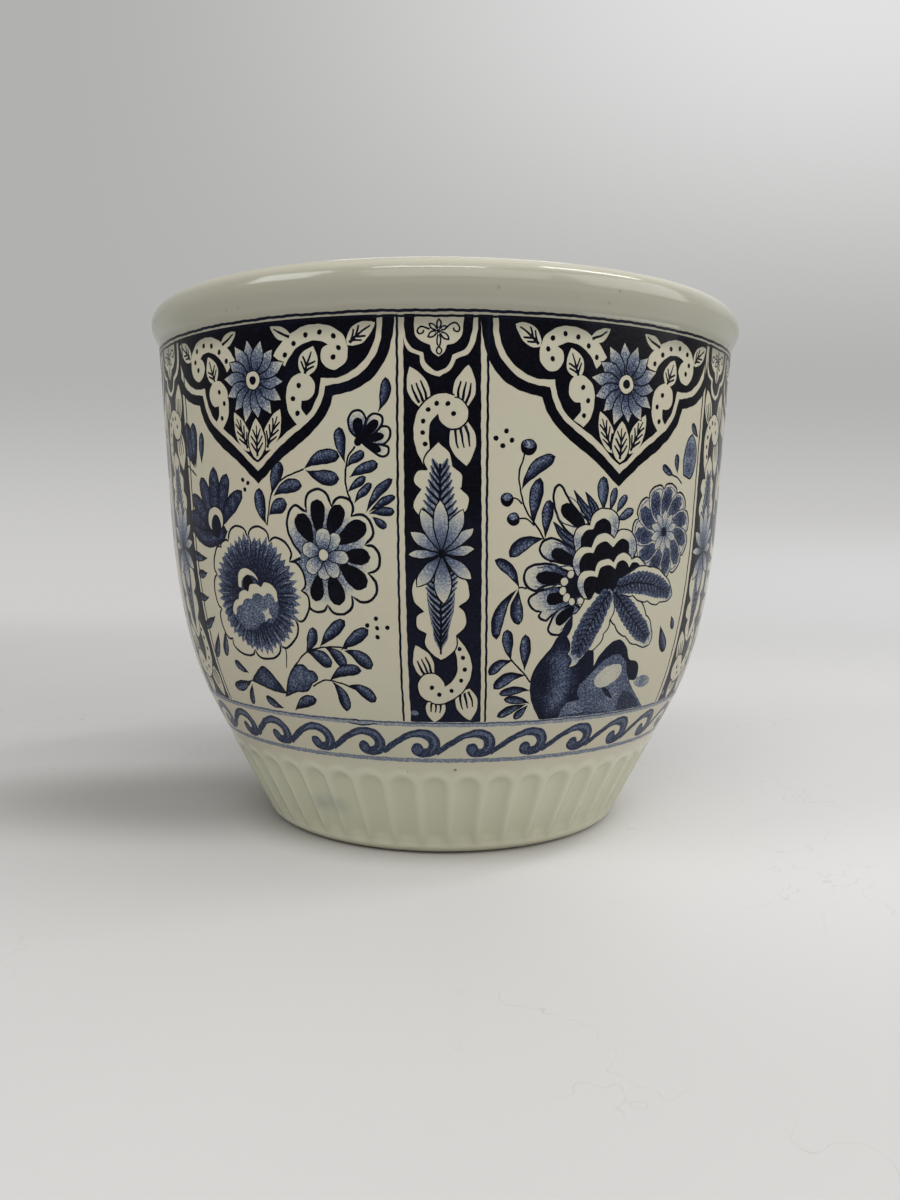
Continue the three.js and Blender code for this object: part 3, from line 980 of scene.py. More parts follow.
def draw_peony(pen):
    """Large peony: a dark blue burst on a cream scalloped disc, with an eye and a stepped cloud on it."""
    centre = (-5.0, 80.8)
    rim = scallops([
        (-14.3, 95.6, 4.3), (-5.6, 96.9, 4.0), (2.8, 96.1, 3.7), (9.8, 90.6, 3.0), (13.4, 82.7, 3.8),
        (10.1, 74.0, 3.3),
        (3.1, 66.4, 3.7), (-8.2, 64.3, 3.4), (-18.8, 66.6, 3.2), (-21.8, 75.6, 3.0), (-21.9, 85.8, 2.8),
        (-18.6, 94.2, 1.4),
    ])
    pen.outlined(rim, 0.7, CREAM)
    chance = np.random.default_rng(7)
    rays = 48
    burst = []
    for k in range(rays):
        angle = 360 / rays * k
        burst.append(petal_point(centre, angle - 3.6, 14.8 + chance.random() * 1.3))
        burst.append(petal_point(centre, angle, 16.6 + chance.random() * 1.5))
    pen.fill(np.array(burst), radial(centre, [(4, 0.92), (9, 0.88), (12, 0.82), (15, 0.74), (18, 0.5)]),
             np.vstack([ellipse(centre, 6.5), ellipse(centre, 9.5), ellipse(centre, 12.2)]))
    for k in range(rays):
        angle = 360 / rays * (k + 0.5) + 2 * chance.random()
        start = 8.0 + 2.5 * chance.random()
        turn = 3.0 * chance.random()
        path = [petal_point(centre, angle, start), petal_point(centre, angle + turn, start + 3.4),
                petal_point(centre, angle + turn, 15.2)]
        pen.stroke(path, [0.2, 0.5, 0.2], 0.94)
    for k in range(0, rays, 2):
        angle = 360 / rays * k + 3 * chance.random()
        pen.stroke([petal_point(centre, angle, 11.0 + 2 * chance.random()),
                    petal_point(centre, angle, 14.0), petal_point(centre, angle, 16.2)],
                   [0.12, 0.35, 0.35], 0.52)
    pen.fill(ellipse((-6.9, 84.2), 4.2, 3.8), 0.84)
    pen.fill(pointed(
        [(-11.2, 86.0), (-9.2, 88.0), (-6.2, 87.9), (-3.6, 86.2), (-2.6, 84.8)],
        [(-5.4, 86.3), (-8.2, 86.0), (-9.8, 84.4), (-10.2, 82.6), (-11.4, 82.8)],
    ), 0.0)
    pen.fill(ellipse((-6.9, 83.4), 2.3, 3.0), INK)
    cloud = pointed(
        [(-14.2, 76.0), (-11.6, 77.6), (-9.6, 79.2), (-6.6, 81.2), (-3, 82.2), (1, 82.8), (4.0, 81.0),
         (4.4, 77.8), (3.2, 74.6), (1.2, 72.7)],
        [(-2.2, 73.0), (-5, 71.0), (-8.4, 70.2), (-12, 70.5), (-15.6, 74.2)],
    )
    lit = [(-9, 74.5), (-4.5, 76.5), (1.0, 79.0)]
    pen.lit(cloud, lit, 5.5, 0.58, 0.76)
    pen.fill(pointed(
        [(-15.2, 77.1), (-13.6, 78.6), (-12.2, 79.0)],
        [(-11.4, 80.9), (-9.5, 81.8), (-7.4, 81.4)],
        [(-6.4, 83.4), (-4.2, 83.9), (-1.8, 83.0)],
        [(-0.2, 84.4), (2.2, 84.0), (4.0, 82.2), (4.3, 79.4)],
        [(3.4, 78.8)],
        [(2.6, 80.6), (0.9, 81.4), (-1.2, 80.4)],
        [(-3.2, 81.2), (-5.2, 80.8), (-6.3, 79.4)],
        [(-8.0, 79.5), (-9.8, 78.9), (-10.7, 77.4)],
        [(-12.2, 77.2), (-13.6, 76.3), (-14.3, 74.5)],
        [(-15.0, 74.2), (-15.8, 74.9)],
    ), 0.0)
    star = [petal_point((-0.5, 75.2), 45 * k + 20, 2.4 if k % 2 else 1.1) for k in range(8)]
    pen.fill(star, 0.14)


def draw_thistle(pen):
    """Dark blue blossom of long round-tipped petals that turns away to the left."""
    base = (-20.5, 99.5)
    under = pointed(
        [(-16.4, 95.8), (-20.4, 94.2), (-25.6, 93.7), (-31.4, 95.4), (-37.4, 100.0)],
        [(-29.0, 104.0), (-20.0, 104.0), (-14.4, 98.6)],
    )
    fold = [(-17.4, 97.6), (-22.0, 96.4), (-27.6, 96.8), (-33.0, 99.4)]
    pen.outlined(under, 0.45, glow(curve(fold, step=1.5), 1.6, 0.76, 0.92), curve(fold, step=2.2))
    tips = [
        (-36.6, 103.4, 5.4), (-34.4, 109.2, 5.6), (-6.8, 110.2, 5.2), (-27.4, 114.4, 5.8),
        (-13.2, 115.2, 5.6), (-19.8, 117.2, 5.8),
    ]
    for x, z, width in tips:
        shape = drop(base, (x, z), width, 0.62, 0.5)
        along_petal = [(base[0] + (x - base[0]) * share,
                        base[1] + (z - base[1]) * share) for share in (0.45, 0.65, 0.85)]
        pen.outlined(shape, 0.45, glow(along_petal, width * 0.5, 0.76, 0.92), along_petal)
    pen.outlined(ellipse((-20.3, 102.0), 4.3, 4.0), 0.4, 0.02)
    pen.fill(ellipse((-20.0, 100.0), 2.6, 3.4), 0.95)


def draw_half_flower(pen):
    """Small half flower at the upper right of the first panel."""
    heart = (31.9, 123.2)
    lobes = [
        ([heart, (29.6, 125.4), (28.9, 128.4), (30.0, 130.8), (31.8, 131.4), (33.6, 130.6), (34.4, 128.6),
          (33.6, 126.0), heart],
         (31.8, 129.3), 2.8),
        ([heart, (36.4, 119.6), (38.6, 118.6), (40.2, 119.6), (40.5, 121.6), (38.6, 122.4), heart],
         (38.2, 120.4), 2.2),
        ([heart, (38.0, 121.8), (40.4, 123.0), (41.1, 125.2), (40.4, 126.8), (38.7, 127.2), (36.6, 126.2),
          heart], (39.2, 124.5), 2.2),
        ([heart, (33.2, 126.2), (34.4, 129.2), (36.4, 130.5), (38.4, 129.9), (39.0, 128.0), (37.6, 125.6),
          (34.8, 123.8), heart],
         (37.5, 128.4), 2.7),
    ]
    shade = radial(heart, [(1.5, 0.8), (4.5, 0.5), (7.0, 0.1), (8.0, 0.0)])
    for outline, tip, _ in lobes:
        halfway = ((heart[0] + tip[0]) / 2, (heart[1] + tip[1]) / 2)
        pen.outlined(curve(outline)[:-1], 0.68, shade, [tip, halfway])
    for outline, tip, width in lobes:
        pen.fill(drop(heart, tip, width, 0.7, 1.1), INK)
    pen.dot((31.8, 122.8), 1.1)


FIRST_PANEL_STEMS = [
    ([(30.9, 121.8), (28.9, 118.6), (28.1, 114.6), (28.4, 110.5), (29.4, 107.6)], 0.55),
    ([(15.6, 115.8), (9, 113.5), (5, 110.3), (3.5, 106), (2.4, 100.6)], 0.5),
    ([(-40, 118.5), (-36, 118), (-30, 115)], 0.6),
    ([(7, 60.2), (12.2, 64.8), (17, 66.5), (22, 67.2), (26.5, 66.8)], 0.5),
    ([(13, 55), (18, 57.2), (24, 56.5), (27.6, 55.1)], 0.5),
    ([(4.2, 60), (5.0, 64), (4.6, 67.0)], 0.4),
]

FIRST_PANEL_LEAVES = [
    ((37.3, 130.4), (39.4, 139.4), 3.0, -0.1), ((28.1, 117.2), (26.5, 126.9), 3.4, 0.04),
    ((28.4, 116.2), (33.6, 120.2), 2.8, 0.05), ((29.0, 113.6), (37.4, 117.2), 3.3, 0.04),
    ((28.6, 109.4), (34.0, 113.6), 2.4, 0.05), ((30.4, 106.6), (35.6, 111.9), 2.5, 0.05),
    ((33.8, 104.0), (41.3, 113.2), 2.8, 0.08), ((34.5, 104.2), (42.0, 108.6), 2.4, 0.05),
    ((34.6, 103.9), (41.8, 104.5), 2.6, 0.05), ((35.4, 103.2), (39.4, 100.2), 2.3, 0.0),
    ((15.6, 115.7), (26.6, 119.0), 4.2, 0.13), ((16.0, 115.6), (26.4, 113.2), 4.2, -0.06),
    ((4.6, 108.8), (8.2, 118.0), 4.2, 0.04), ((5.0, 108.4), (15.0, 111.4), 4.0, 0.12),
    ((3.2, 103.1), (9.8, 106.4), 4.4, 0.12), ((2.3, 100.6), (0.0, 111.0), 4.2, 0.08),
    ((-31, 117), (-39.6, 128.4), 5.0, -0.05), ((-30.4, 117), (-35.4, 130.8), 5.0, -0.02),
    ((-29.8, 117), (-30.2, 130.6), 4.6, 0.02), ((-26, 118), (-25, 127.4), 3.2, 0.03),
    ((-26.6, 90.5), (-37.4, 91.7), 3.2, 0.05), ((-27.6, 86), (-34.4, 85.7), 2.8, 0.05),
    ((-28.6, 78.5), (-37.4, 78.9), 2.8, 0.05), ((-26.6, 73.2), (-36.3, 69), 3.0, 0.05),
    ((-26.6, 68.2), (-32.4, 59.8), 3.2, 0.05), ((-22.3, 69.2), (-25.2, 60.8), 3.2, 0.05),
    ((-13.6, 56.6), (-20.4, 59.9), 2.6, 0.05), ((-13.0, 54.6), (-24.9, 51.3), 3.4, 0.05),
    ((-13.6, 53.4), (-17.2, 46.4), 2.6, 0.0), ((-1, 47), (-8.4, 49.8), 3.0, 0.05),
    ((3.6, 46.6), (13.6, 51.1), 3.6, 0.08), ((12.2, 64.7), (15.9, 72.6), 3.6, -0.1),
    ((17.4, 66.8), (26.4, 74.8), 3.8, 0.03), ((24.2, 66.2), (33.4, 72.6), 3.8, 0.02),
    ((12.4, 65.2), (20.6, 61.2), 4.2, 0.12), ((19.0, 67.0), (25.2, 61.2), 3.8, 0.12),
    ((25.2, 66.2), (33.6, 61.2), 4.2, 0.12), ((19.4, 56.8), (30.4, 60.6), 3.6, 0.14),
    ((20.0, 57.1), (23.8, 48.2), 4.0, 0.14), ((25.4, 56.1), (34.0, 51.4), 3.8, 0.12),
]


def draw_first_panel(pen):
    """Scalloped flower, peony, thistle and their leaves under the hanging."""
    for points, width in FIRST_PANEL_STEMS:
        pen.stroke(points, width)
    draw_thistle(pen)
    for base, tip, width, bend in FIRST_PANEL_LEAVES:
        pen.leaf(base, tip, width, bend)
    draw_scalloped_flower(pen)
    draw_peony(pen)
    draw_half_flower(pen)
    dark_leaf = pointed(
        [(-9, 58), (-5.5, 59.6), (-1, 56), (2.4, 51.6)],
        [(-3, 52), (-13.5, 54.2)],
    )
    pen.outlined(dark_leaf, 0.5, glow([(-7, 56), (-4, 55)], 3, 0.7, 0.88), [(-7, 56), (-4, 55)])
    broad_leaf = pointed(
        [(2.6, 54.1), (4.4, 57.6), (6.4, 59.9), (8.6, 61.3), (10.8, 61.4), (12.6, 60.0)],
        [(14.4, 59.6), (15.5, 58.2), (15.2, 56.9), (13.2, 55.8), (12.2, 54.5), (10.4, 53.2), (6, 52.5),
         (0.9, 50.6)],
    )
    lit = [(6, 56), (9, 58.5), (12, 57.4)]
    pen.outlined(broad_leaf, 0.5, glow(lit, 3.4, 0.62, 0.84), lit)
    pen.dots([(35.8, 75.7), (33.1, 73.7), (36, 73), (39, 73.3), (36, 70.5)], 0.68)
    pen.dots([(-6.3, 113.2), (-4.3, 112.3), (-5.6, 110.5)], 0.68)
    draw_hanging(pen, (-0.5, 140.2), 0.97)


# Second flower panel: tiered blossom, rock and maple-like leaf

def draw_berries(pen):
    """Berries on thin stems at the upper left of the second panel."""
    pen.stroke([(-29.4, 120.2), (-30.8, 115.3), (-30.2, 109.9), (-28.7, 105.3), (-25.3, 100.8),
                (-22.6, 96.8)], 0.5)
    pen.stroke([(-32.8, 108.4), (-31.2, 108.2), (-29.8, 106.9)], 0.45)
    pen.stroke([(-31, 103.1), (-28.6, 103), (-26, 101.2)], 0.45)
    for centre, radius in (((-28.4, 121.9), 2.25), ((-34, 108), 1.85), ((-32.1, 102.9), 1.85)):
        pen.fill(ellipse(centre, radius), INK)
        lit = (centre[0], centre[1] + radius * 0.35)
        pen.lit(ellipse(lit, radius * 0.74, radius * 0.5), [lit], radius * 0.8, 0.42, 0.85)


def draw_lobed_flower(pen):
    """Flower with outlined lobes behind the tiered blossom, round a ring of pearls."""
    heart = (-12.8, 86.5)
    lobes = [
        (pointed(
            [(-9.4, 102.4), (-12.8, 105.1), (-15.2, 107.6), (-17.0, 110.2), (-18.2, 111.9),
             (-19.4, 112.5), (-20.7, 111.4), (-21.1, 109.2), (-20.8, 106.4), (-19.6, 103.2),
             (-17.5, 100.3), (-14.6, 97.9), (-11.5, 96)],
            [(-9.0, 97.0)],
        ),
         (-18.2, 106.8), (-10.6, 100.6), 4.2),
        (pointed(
            [(-13.7, 95.2), (-16.4, 96.6), (-19, 97.8), (-21.4, 98.1), (-23.6, 97.2), (-24.5, 95.2),
             (-24.2, 93.6), (-22.9, 92.2), (-20.8, 91.4), (-18, 90.9), (-14, 89.8), (-10.5, 88.6)],
            [(-10.5, 93.5)],
        ),
         (-20.8, 94.3), (-12.2, 90.8), 3.6),
        (pointed(
            [(-15.8, 89.3), (-19.3, 90.9), (-23.4, 91.2), (-26.6, 90.7), (-28.4, 89.2), (-28.8, 87.2),
             (-28.3, 85.4), (-26.9, 83.9), (-24.6, 83.2), (-22.2, 84.4), (-18.7, 85.0), (-12, 84)],
            [(-12, 88.6)],
        ),
         (-25.0, 87.3), (-15.4, 86.6), 3.6),
        (pointed(
            [(-18.7, 84.6), (-22.2, 84.2), (-25, 83.2), (-26.6, 82.0), (-27.0, 80.4), (-26.2, 78.8),
             (-24.4, 77.6), (-23.0, 77.5)],
            [(-23.7, 76.6), (-22.8, 75.4), (-20.8, 74.8), (-19.4, 76.2), (-15, 78.6), (-11, 80)],
            [(-13, 84.6)],
        ),
         (-21.4, 80.8), (-14.4, 82.0), 3.6),
        (pointed(
            [(-15.6, 79.2), (-18.4, 77.6), (-19.8, 75), (-20.3, 72.4), (-18.9, 70.9), (-16.4, 70.7),
             (-14.4, 72.4), (-11.5, 75), (-9, 78)],
            [(-12, 80)],
        ),
         (-17.8, 74.2), (-12.2, 78.8), 3.4),
    ]
    shade = radial(heart, [(4, 0.85), (7.5, 0.7), (10.5, 0.4), (13.5, 0.08), (15.5, 0.0)])
    rings = np.vstack([ellipse(heart, 7.5), ellipse(heart, 10.5)])
    for edge, _, _, _ in lobes:
        pen.outlined(edge, 0.74, shade, rings)
    for edge, drop_tip, drop_base, width in lobes:
        tip = np.array(drop_tip)
        base = np.array(drop_base)
        away = tip - base
        across = np.array([-away[1], away[0]]) / np.linalg.norm(away) * width * 0.8
        for side in (across, -across):
            pen.stroke([base, tip * 0.6 + base * 0.4 + side, tip + side * 0.9], [0.6, 0.45, 0.2], 0.8)
        pen.fill(drop(drop_base, drop_tip, width, 0.7, 0.45), INK)
    for start, middle, end in (((-14.6, 110.9), (-11.8, 106.6), (-8.4, 103.4)),
                               ((-11.1, 110.4), (-8.4, 106.6), (-7.2, 104.2)),
                               ((-20.5, 102.3), (-17.6, 98.8), (-12.8, 95.6))):
        plume = np.array([start, middle, end])
        pen.stroke(plume, [0.3, 2.2, 3.0], 0.76)
        for shift in (-0.6, 0.1, 0.8):
            pen.stroke(plume + [[0, 0], [shift, shift], [shift * 1.4, shift * 1.4]], [0.3, 0.5, 0.5], 0.96)
    pen.fill(ellipse((-12.6, 84.6), 4.6), 0.85)
    pen.fill(ellipse((-12.6, 84.5), 3.3), 0.97)
    for centre, radius in (((-14.3, 88.0), 1.25), ((-16.1, 85.9), 1.35), ((-16.4, 83.4), 1.3),
                           ((-15.1, 81.5), 1.35), ((-13.2, 80.3), 1.2),
                           ((-10.4, 80.4), 1.2)):
        pen.outlined(ellipse(centre, radius), 0.22, 0.02)


def tier(pen, bumps, band, blue_side):
    """One tier of the blossom: near-black bumps with a cream band round them, blue where it turns away."""
    pen.rimmed(joined(*band), glow(blue_side, 3.4, 0.56, CREAM), blue_side, line_tone=0.97)
    pen.fill(joined(*bumps), INK)


def draw_tiered_blossom(pen):
    """Three tiers of scallops, each a cream band over near-black, with small leaves on top."""
    for base, tip, width in (((-4.5, 104.8), (-5.4, 114.8), 3.9), ((-2.4, 105.0), (-0.7, 111.8), 2.7),
                             ((-0.4, 104.6), (3.4, 109.8), 2.7), ((-0.4, 102.4), (6.4, 105.7), 2.9)):
        pen.leaf(base, tip, width, 0.02, 0.62, 0.9)
    tier(pen,
         [[(-11.8, 94.6), (-11.6, 98.0), (-10.4, 99.9), (-7.9, 100.3)],
          [(-7.9, 100.3), (-6.6, 102.5), (-4.5, 103.3), (-2.4, 102.4), (-1.6, 100.4), (-1.8, 97.4)],
          [(-1.8, 97.4), (-6, 93), (-11.8, 94.6)]],
         [[(-13.2, 94.6), (-14.0, 97.6), (-13.2, 100.0), (-11.2, 101.3), (-8.9, 101.2)],
          [(-8.9, 101.2), (-8.4, 103.6), (-6.8, 105.3), (-4.4, 105.8), (-1.6, 105.4), (0.3, 104.0),
           (0.8, 101.6), (0.2, 98.0)],
          [(0.2, 98.0), (-6, 93), (-13.2, 94.6)]],
         [(-0.2, 101.6), (0.0, 99.2), (-13.2, 96.6)])
    tier(pen,
         [[(-10.6, 86.6), (-11.7, 89.8), (-11.5, 92.2), (-10.0, 93.7), (-7.4, 93.7)],
          [(-7.4, 93.7), (-6.4, 95.7), (-4.4, 96.8), (-2.6, 96.7), (-0.6, 95.3)],
          [(-0.6, 95.3), (1.2, 97.1), (3.4, 97.6), (5.2, 96.5), (5.7, 94.2), (4.8, 90.6)],
          [(4.8, 90.6), (-3, 86), (-10.6, 86.6)]],
         [[(-11.2, 86.6), (-13.2, 89.2), (-13.7, 91.8), (-12.8, 94.2), (-10.8, 95.3), (-8.0, 95.2)],
          [(-8.0, 95.2), (-7.2, 97.6), (-5.0, 99.0), (-2.6, 99.0), (-0.4, 97.6)],
          [(-0.4, 97.6), (1.2, 99.6), (3.6, 100.1), (6.2, 99.2), (7.9, 96.9), (8.1, 94.0), (6.6, 90.6)],
          [(6.6, 90.6), (-3, 85), (-11.2, 86.6)]],
         [(7.2, 96.2), (7.2, 93.2), (-12.7, 89.8)])
    tier(pen,
         [[(-8.0, 80.8), (-9.6, 83.4), (-9.7, 85.8), (-8.2, 87.3), (-5.4, 87.1)],
          [(-5.4, 87.1), (-4.4, 89.4), (-2.6, 90.3), (-0.4, 90.1), (0.9, 89.2)],
          [(0.9, 89.2), (1.8, 91.0), (3.4, 91.6), (5.2, 90.9), (6.2, 89.6)],
          [(6.2, 89.6), (7.4, 90.9), (9.4, 90.8), (11.2, 89.0), (10.8, 84)],
          [(10.8, 84), (0, 80), (-8.0, 80.8)]],
         [[(-9.0, 81.0), (-11.2, 83.4), (-11.9, 86.0), (-10.8, 88.1), (-8.8, 88.9), (-6.2, 88.6)],
          [(-6.2, 88.6), (-5.6, 90.8), (-3.6, 91.9), (-1.4, 91.9), (0.2, 91.0)],
          [(0.2, 91.0), (1.6, 93.1), (3.8, 93.7), (6.2, 92.7), (7.0, 91.6)],
          [(7.0, 91.6), (9.0, 92.2), (11.0, 91.3), (12.8, 89.8), (12.4, 84)],
          [(12.4, 84), (0, 79), (-9.0, 81.0)]],
         [(-10.8, 83.6), (12.4, 88.0)])


def draw_spiral_daisy(pen):
    """Swirled daisy at the upper right: curved blue blobs with pale arcs between them."""
    centre = (20.4, 99.5)
    blobs = 11
    turn = 360 / blobs
    first = 121
    pen.outlined(lobed(centre, blobs, 14.4, 12.8, first - 8, 10), 0.6, 0.12)
    pen.outlined(lobed(centre, blobs, 13.2, 11.6, first - 8, 10), 0.4, 0.12, None, 0.6)
    for k in range(blobs):
        angle = first + turn * k
        blob = [petal_point(centre, angle + 12 - 2.7 * (r - 5), r) for r in (5.0, 7.0, 9.2, 11.0, 12.4)]
        pen.fill(ribbon(blob, [1.8, 3.6, 4.6, 4.3, 2.2]), glow([blob[2]], 4.0, 0.88, 0.7),
                 [blob[1], blob[2], blob[3]])
        arc = [petal_point(centre, angle + 30 - 2.7 * (r - 5), r) for r in (5.4, 8, 10.5, 12.4)]
        pen.stroke(arc, [0.3, 0.45, 0.4], 0.72)
    petals = 10
    for k in range(petals):
        angle = 360 / petals * k + 18
        shape = petal(centre, angle, 1.0, 6.2, 2.3, 0.55)
        tone = radial(centre, [(1, 0.7), (3, 0.36), (6, 0.1)])
        pen.rimmed(shape, tone, [petal_point(centre, angle, 3.2)], 0.3, 0.8)
    pen.dot(centre, 1.4, 0.95)


def leaf_lobe(pen, outline, rib, reach):
    """A lobe of the broad leaf: pale serrated edge, feathered blue core and dark rib with side veins."""
    pen.rimmed(outline, glow(curve(rib, step=1.5), reach, 0.6, CREAM), curve(rib, step=2.2),
               line_tone=0.92)
    line = curve(rib, step=1.9)
    last = len(line) - 1
    for i in range(last):
        ahead = line[i + 1] - line[i]
        ahead /= np.linalg.norm(ahead)
        across = np.array([-ahead[1], ahead[0]])
        length = np.interp(i / last, [0.0, 0.3, 0.7, 1.0], [0.6, 1.0, 0.95, 0.3]) * reach
        for side in (1, -1):
            tip = line[i] + ahead * (1.6 + length * 0.35) + across * side * length
            middle = (line[i] + tip) / 2
            pen.fill(drop(line[i], tip, 2.5, 0.5), glow([line[i], middle], reach * 0.8, 0.84, 0.62),
                     [middle])
            pen.stroke([line[i], middle, line[i] + (tip - line[i]) * 0.8], [0.45, 0.4, 0.15], 0.93)
    pen.stroke(rib, [0.6, 0.5, 0.3], 0.97)


def serrated(points, depth=0.9):
    """Sides that bulge between the given teeth."""
    sides = []
    for start, end in zip(points[:-1], points[1:]):
        start = np.array(start, float)
        end = np.array(end, float)
        span = end - start
        out = np.array([span[1], -span[0]]) / np.linalg.norm(span) * depth
        sides.append([tuple(start), tuple(start + span * 0.45 + out),
                      tuple(start + span * 0.8 + out * 0.8), tuple(end)])
    return sides


def draw_broad_leaf(pen):
    """Leaf of four serrated lobes that hangs from the blossom over the rock."""
    down_right = serrated([(1.5, 83.5), (0.8, 77.5), (3.2, 73.2), (8.4, 69.6), (14.0, 66.9),
                           (20.6, 66.2)], 0.7) + \
        serrated([(20.6, 66.2), (20.2, 70.4), (16.2, 75.0), (11.6, 79.6), (6.6, 83.6), (1.5, 83.5)], 0.7)
    leaf_lobe(pen, joined(*down_right), [(1.6, 82.6), (6.4, 78.0), (12, 73), (18.6, 68.4)], 3.4)
    right = serrated([(2, 83.6), (9, 81.6), (16, 79.6), (22.4, 79.0), (28.8, 80.8)], 0.8) + \
        serrated([(28.8, 80.8), (23, 86.4), (15.6, 89.2), (8.4, 88.6), (2, 83.6)], 0.7)
    leaf_lobe(pen, joined(*right), [(2.4, 84), (10, 85), (18, 84), (26.6, 81.4)], 3.4)
    down_left = serrated([(-0.6, 83.6), (-5.6, 82.6), (-8.9, 80.9), (-12.6, 76.6), (-13.6, 70.6),
                          (-12.6, 65.4), (-11.4, 61.6)], -0.9) + \
        serrated([(-11.4, 61.6), (-8.6, 63.4), (-6.4, 66.9), (-3.4, 66.6), (-1.0, 70.6), (0.8, 74.6),
                  (1.6, 79.4), (-0.6, 83.6)], 0.7)
    leaf_lobe(pen, joined(*down_left), [(-0.4, 82.8), (-3.4, 78.0), (-6.6, 72.4), (-9.6, 65.4)], 4.0)


def draw_rock(pen):
    """Rockwork: a dark boulder, a hill with a dark cap and a bare patch, and a pale foot."""
    boulder = pointed(
        [(-13, 76), (-17, 69.9), (-19.5, 66.2), (-22.4, 62.8), (-23.9, 58.7), (-23.7, 54.5),
         (-22, 50.3), (-18, 45)],
        [(0, 45)],
        [(-1.5, 52), (-2.4, 57), (-2.6, 62), (-4.2, 68), (-6.0, 74), (-9, 77.5)],
    )
    patch = [(-14.5, 63), (-13.4, 59), (-13.6, 55), (-14.4, 51.5)]
    pen.lit(boulder, patch, 5.2, 0.66, 0.93)
    dark_cap = pointed(
        [(-1.4, 63.6), (2.0, 67.2), (6, 68.7), (9.6, 66.4), (12.2, 62.4), (16.3, 61.2), (18.2, 58.4),
         (18.0, 55.2)],
        [(12, 56), (-3.2, 59.5)],
    )
    pen.fill(dark_cap, 0.93)
    hill = pointed(
        [(-2.6, 59.4), (1.6, 62.9), (6.4, 64.2), (10.6, 62.0), (12.4, 58.4), (15.6, 54.6),
         (20.8, 50.3), (29, 45)],
        [(-12, 45)],
        [(-11.6, 48.4), (-9.4, 50.8), (-5.4, 51.4), (-6.8, 53.4), (-6.4, 56)],
    )
    pen.lit(hill, [(0, 58), (8, 51), (18, 48), (-8, 48)], 6.0, 0.58, 0.7)
    pen.fill(pointed(
        [(18, 51.2), (27, 45)],
        [(13, 45)],
        [(11.8, 48.6), (12.6, 52.6)],
    ), 0.84)
    pen.fill(ribbon([(2.6, 54.9), (5.2, 52.8), (8.6, 50.6)], [0.8, 1.8, 0.5]), 0.9)
    pen.fill(ribbon([(-11, 46.4), (-2, 46.8), (8, 46.2)], [0.3, 0.8, 0.3]), 0.82)
    pen.lit(ellipse((4.4, 57.9), 5.6, 3.1, 18), [(4.6, 57.9)], 4.5, 0.05, 0.14)
    pen.lit(ellipse((21.8, 54.6), 4.6, 1.9, -6), [(21.8, 54.6)], 4.6, 0.62, 0.34)


SECOND_PANEL_LEAVES = [
    ((-30.1, 110.4), (-20.6, 119.6), 4.0, 0.12), ((-26.4, 101.0), (-24.8, 114.0), 3.9, 0.04),
    ((-22.8, 97.6), (-21.8, 108.2), 3.4, 0.02), ((-22.8, 97.6), (-32.8, 92.6), 4.0, -0.14),
    ((-29.6, 84.0), (-37.0, 92.0), 3.2, -0.12), ((-29.9, 84.2), (-35.6, 70.0), 3.6, -0.14),
    ((-29.7, 84.1), (-29.1, 74.1), 3.9, -0.08), ((-30.8, 64.0), (-32.4, 73.0), 3.5, 0.04),
    ((-26.2, 60.8), (-26.9, 71.4), 3.5, 0.0), ((-30.0, 64.0), (-37.1, 60.0), 3.1, -0.14),
    ((-25.6, 59.6), (-35.4, 55.8), 3.6, -0.14), ((-23.4, 55.1), (-33.6, 54.3), 2.7, -0.06),
    ((-23.0, 51.2), (-31.9, 52.6), 2.6, -0.05), ((-24.1, 51.1), (-33.6, 47.4), 2.8, -0.04),
    ((-23.6, 50.8), (-27.8, 46.6), 2.7, 0.0), ((23.6, 115.8), (17.4, 118.6), 2.6, 0.05),
    ((25.2, 116.2), (24.4, 122.2), 2.6, 0.05), ((36.4, 127.6), (31.6, 131.4), 2.6, 0.05),
    ((25, 71.8), (31.2, 63.2), 3.8, -0.05), ((30.6, 74.2), (33.6, 69.8), 2.4, 0.0),
]

SECOND_PANEL_STEMS = [
    ([(-31, 64.6), (-28.3, 62), (-26, 59.9), (-24, 57.6)], 0.5),
    ([(-29.9, 84.3), (-28.8, 84.6), (-27.4, 84.2)], 0.5),
    ([(28, 113.6), (25.4, 115.2), (22.8, 116.0)], 0.5),
]


def draw_second_panel(pen):
    """Tiered blossom over rockwork, with berries, a spiral daisy and a broad leaf."""
    for points, width in SECOND_PANEL_STEMS:
        pen.stroke(points, width)
    draw_berries(pen)
    draw_spiral_daisy(pen)
    for base, tip, width, bend in SECOND_PANEL_LEAVES:
        pen.leaf(base, tip, width, bend, 0.7, 0.96)
    bud = pointed(
        [(27.8, 121), (29.6, 126.4), (32.4, 128.6)],
        [(35.6, 125), (35.8, 119.5), (33.4, 115.2), (28.4, 116)],
    )
    pen.outlined(bud, 0.5, glow([(31.6, 118), (31.6, 123)], 4.4, 0.8, 0.5), [(31.6, 118), (31.6, 123)])
    draw_lobed_flower(pen)
    draw_rock(pen)
    draw_tiered_blossom(pen)
    draw_broad_leaf(pen)
    pen.dots([(-37.4, 124.1), (-34.6, 125.9), (-33.1, 123.5), (-35.5, 122.1)], 0.72)
    draw_hanging(pen, (0.7, 139.8), 0.89)


# Wave border and rim line

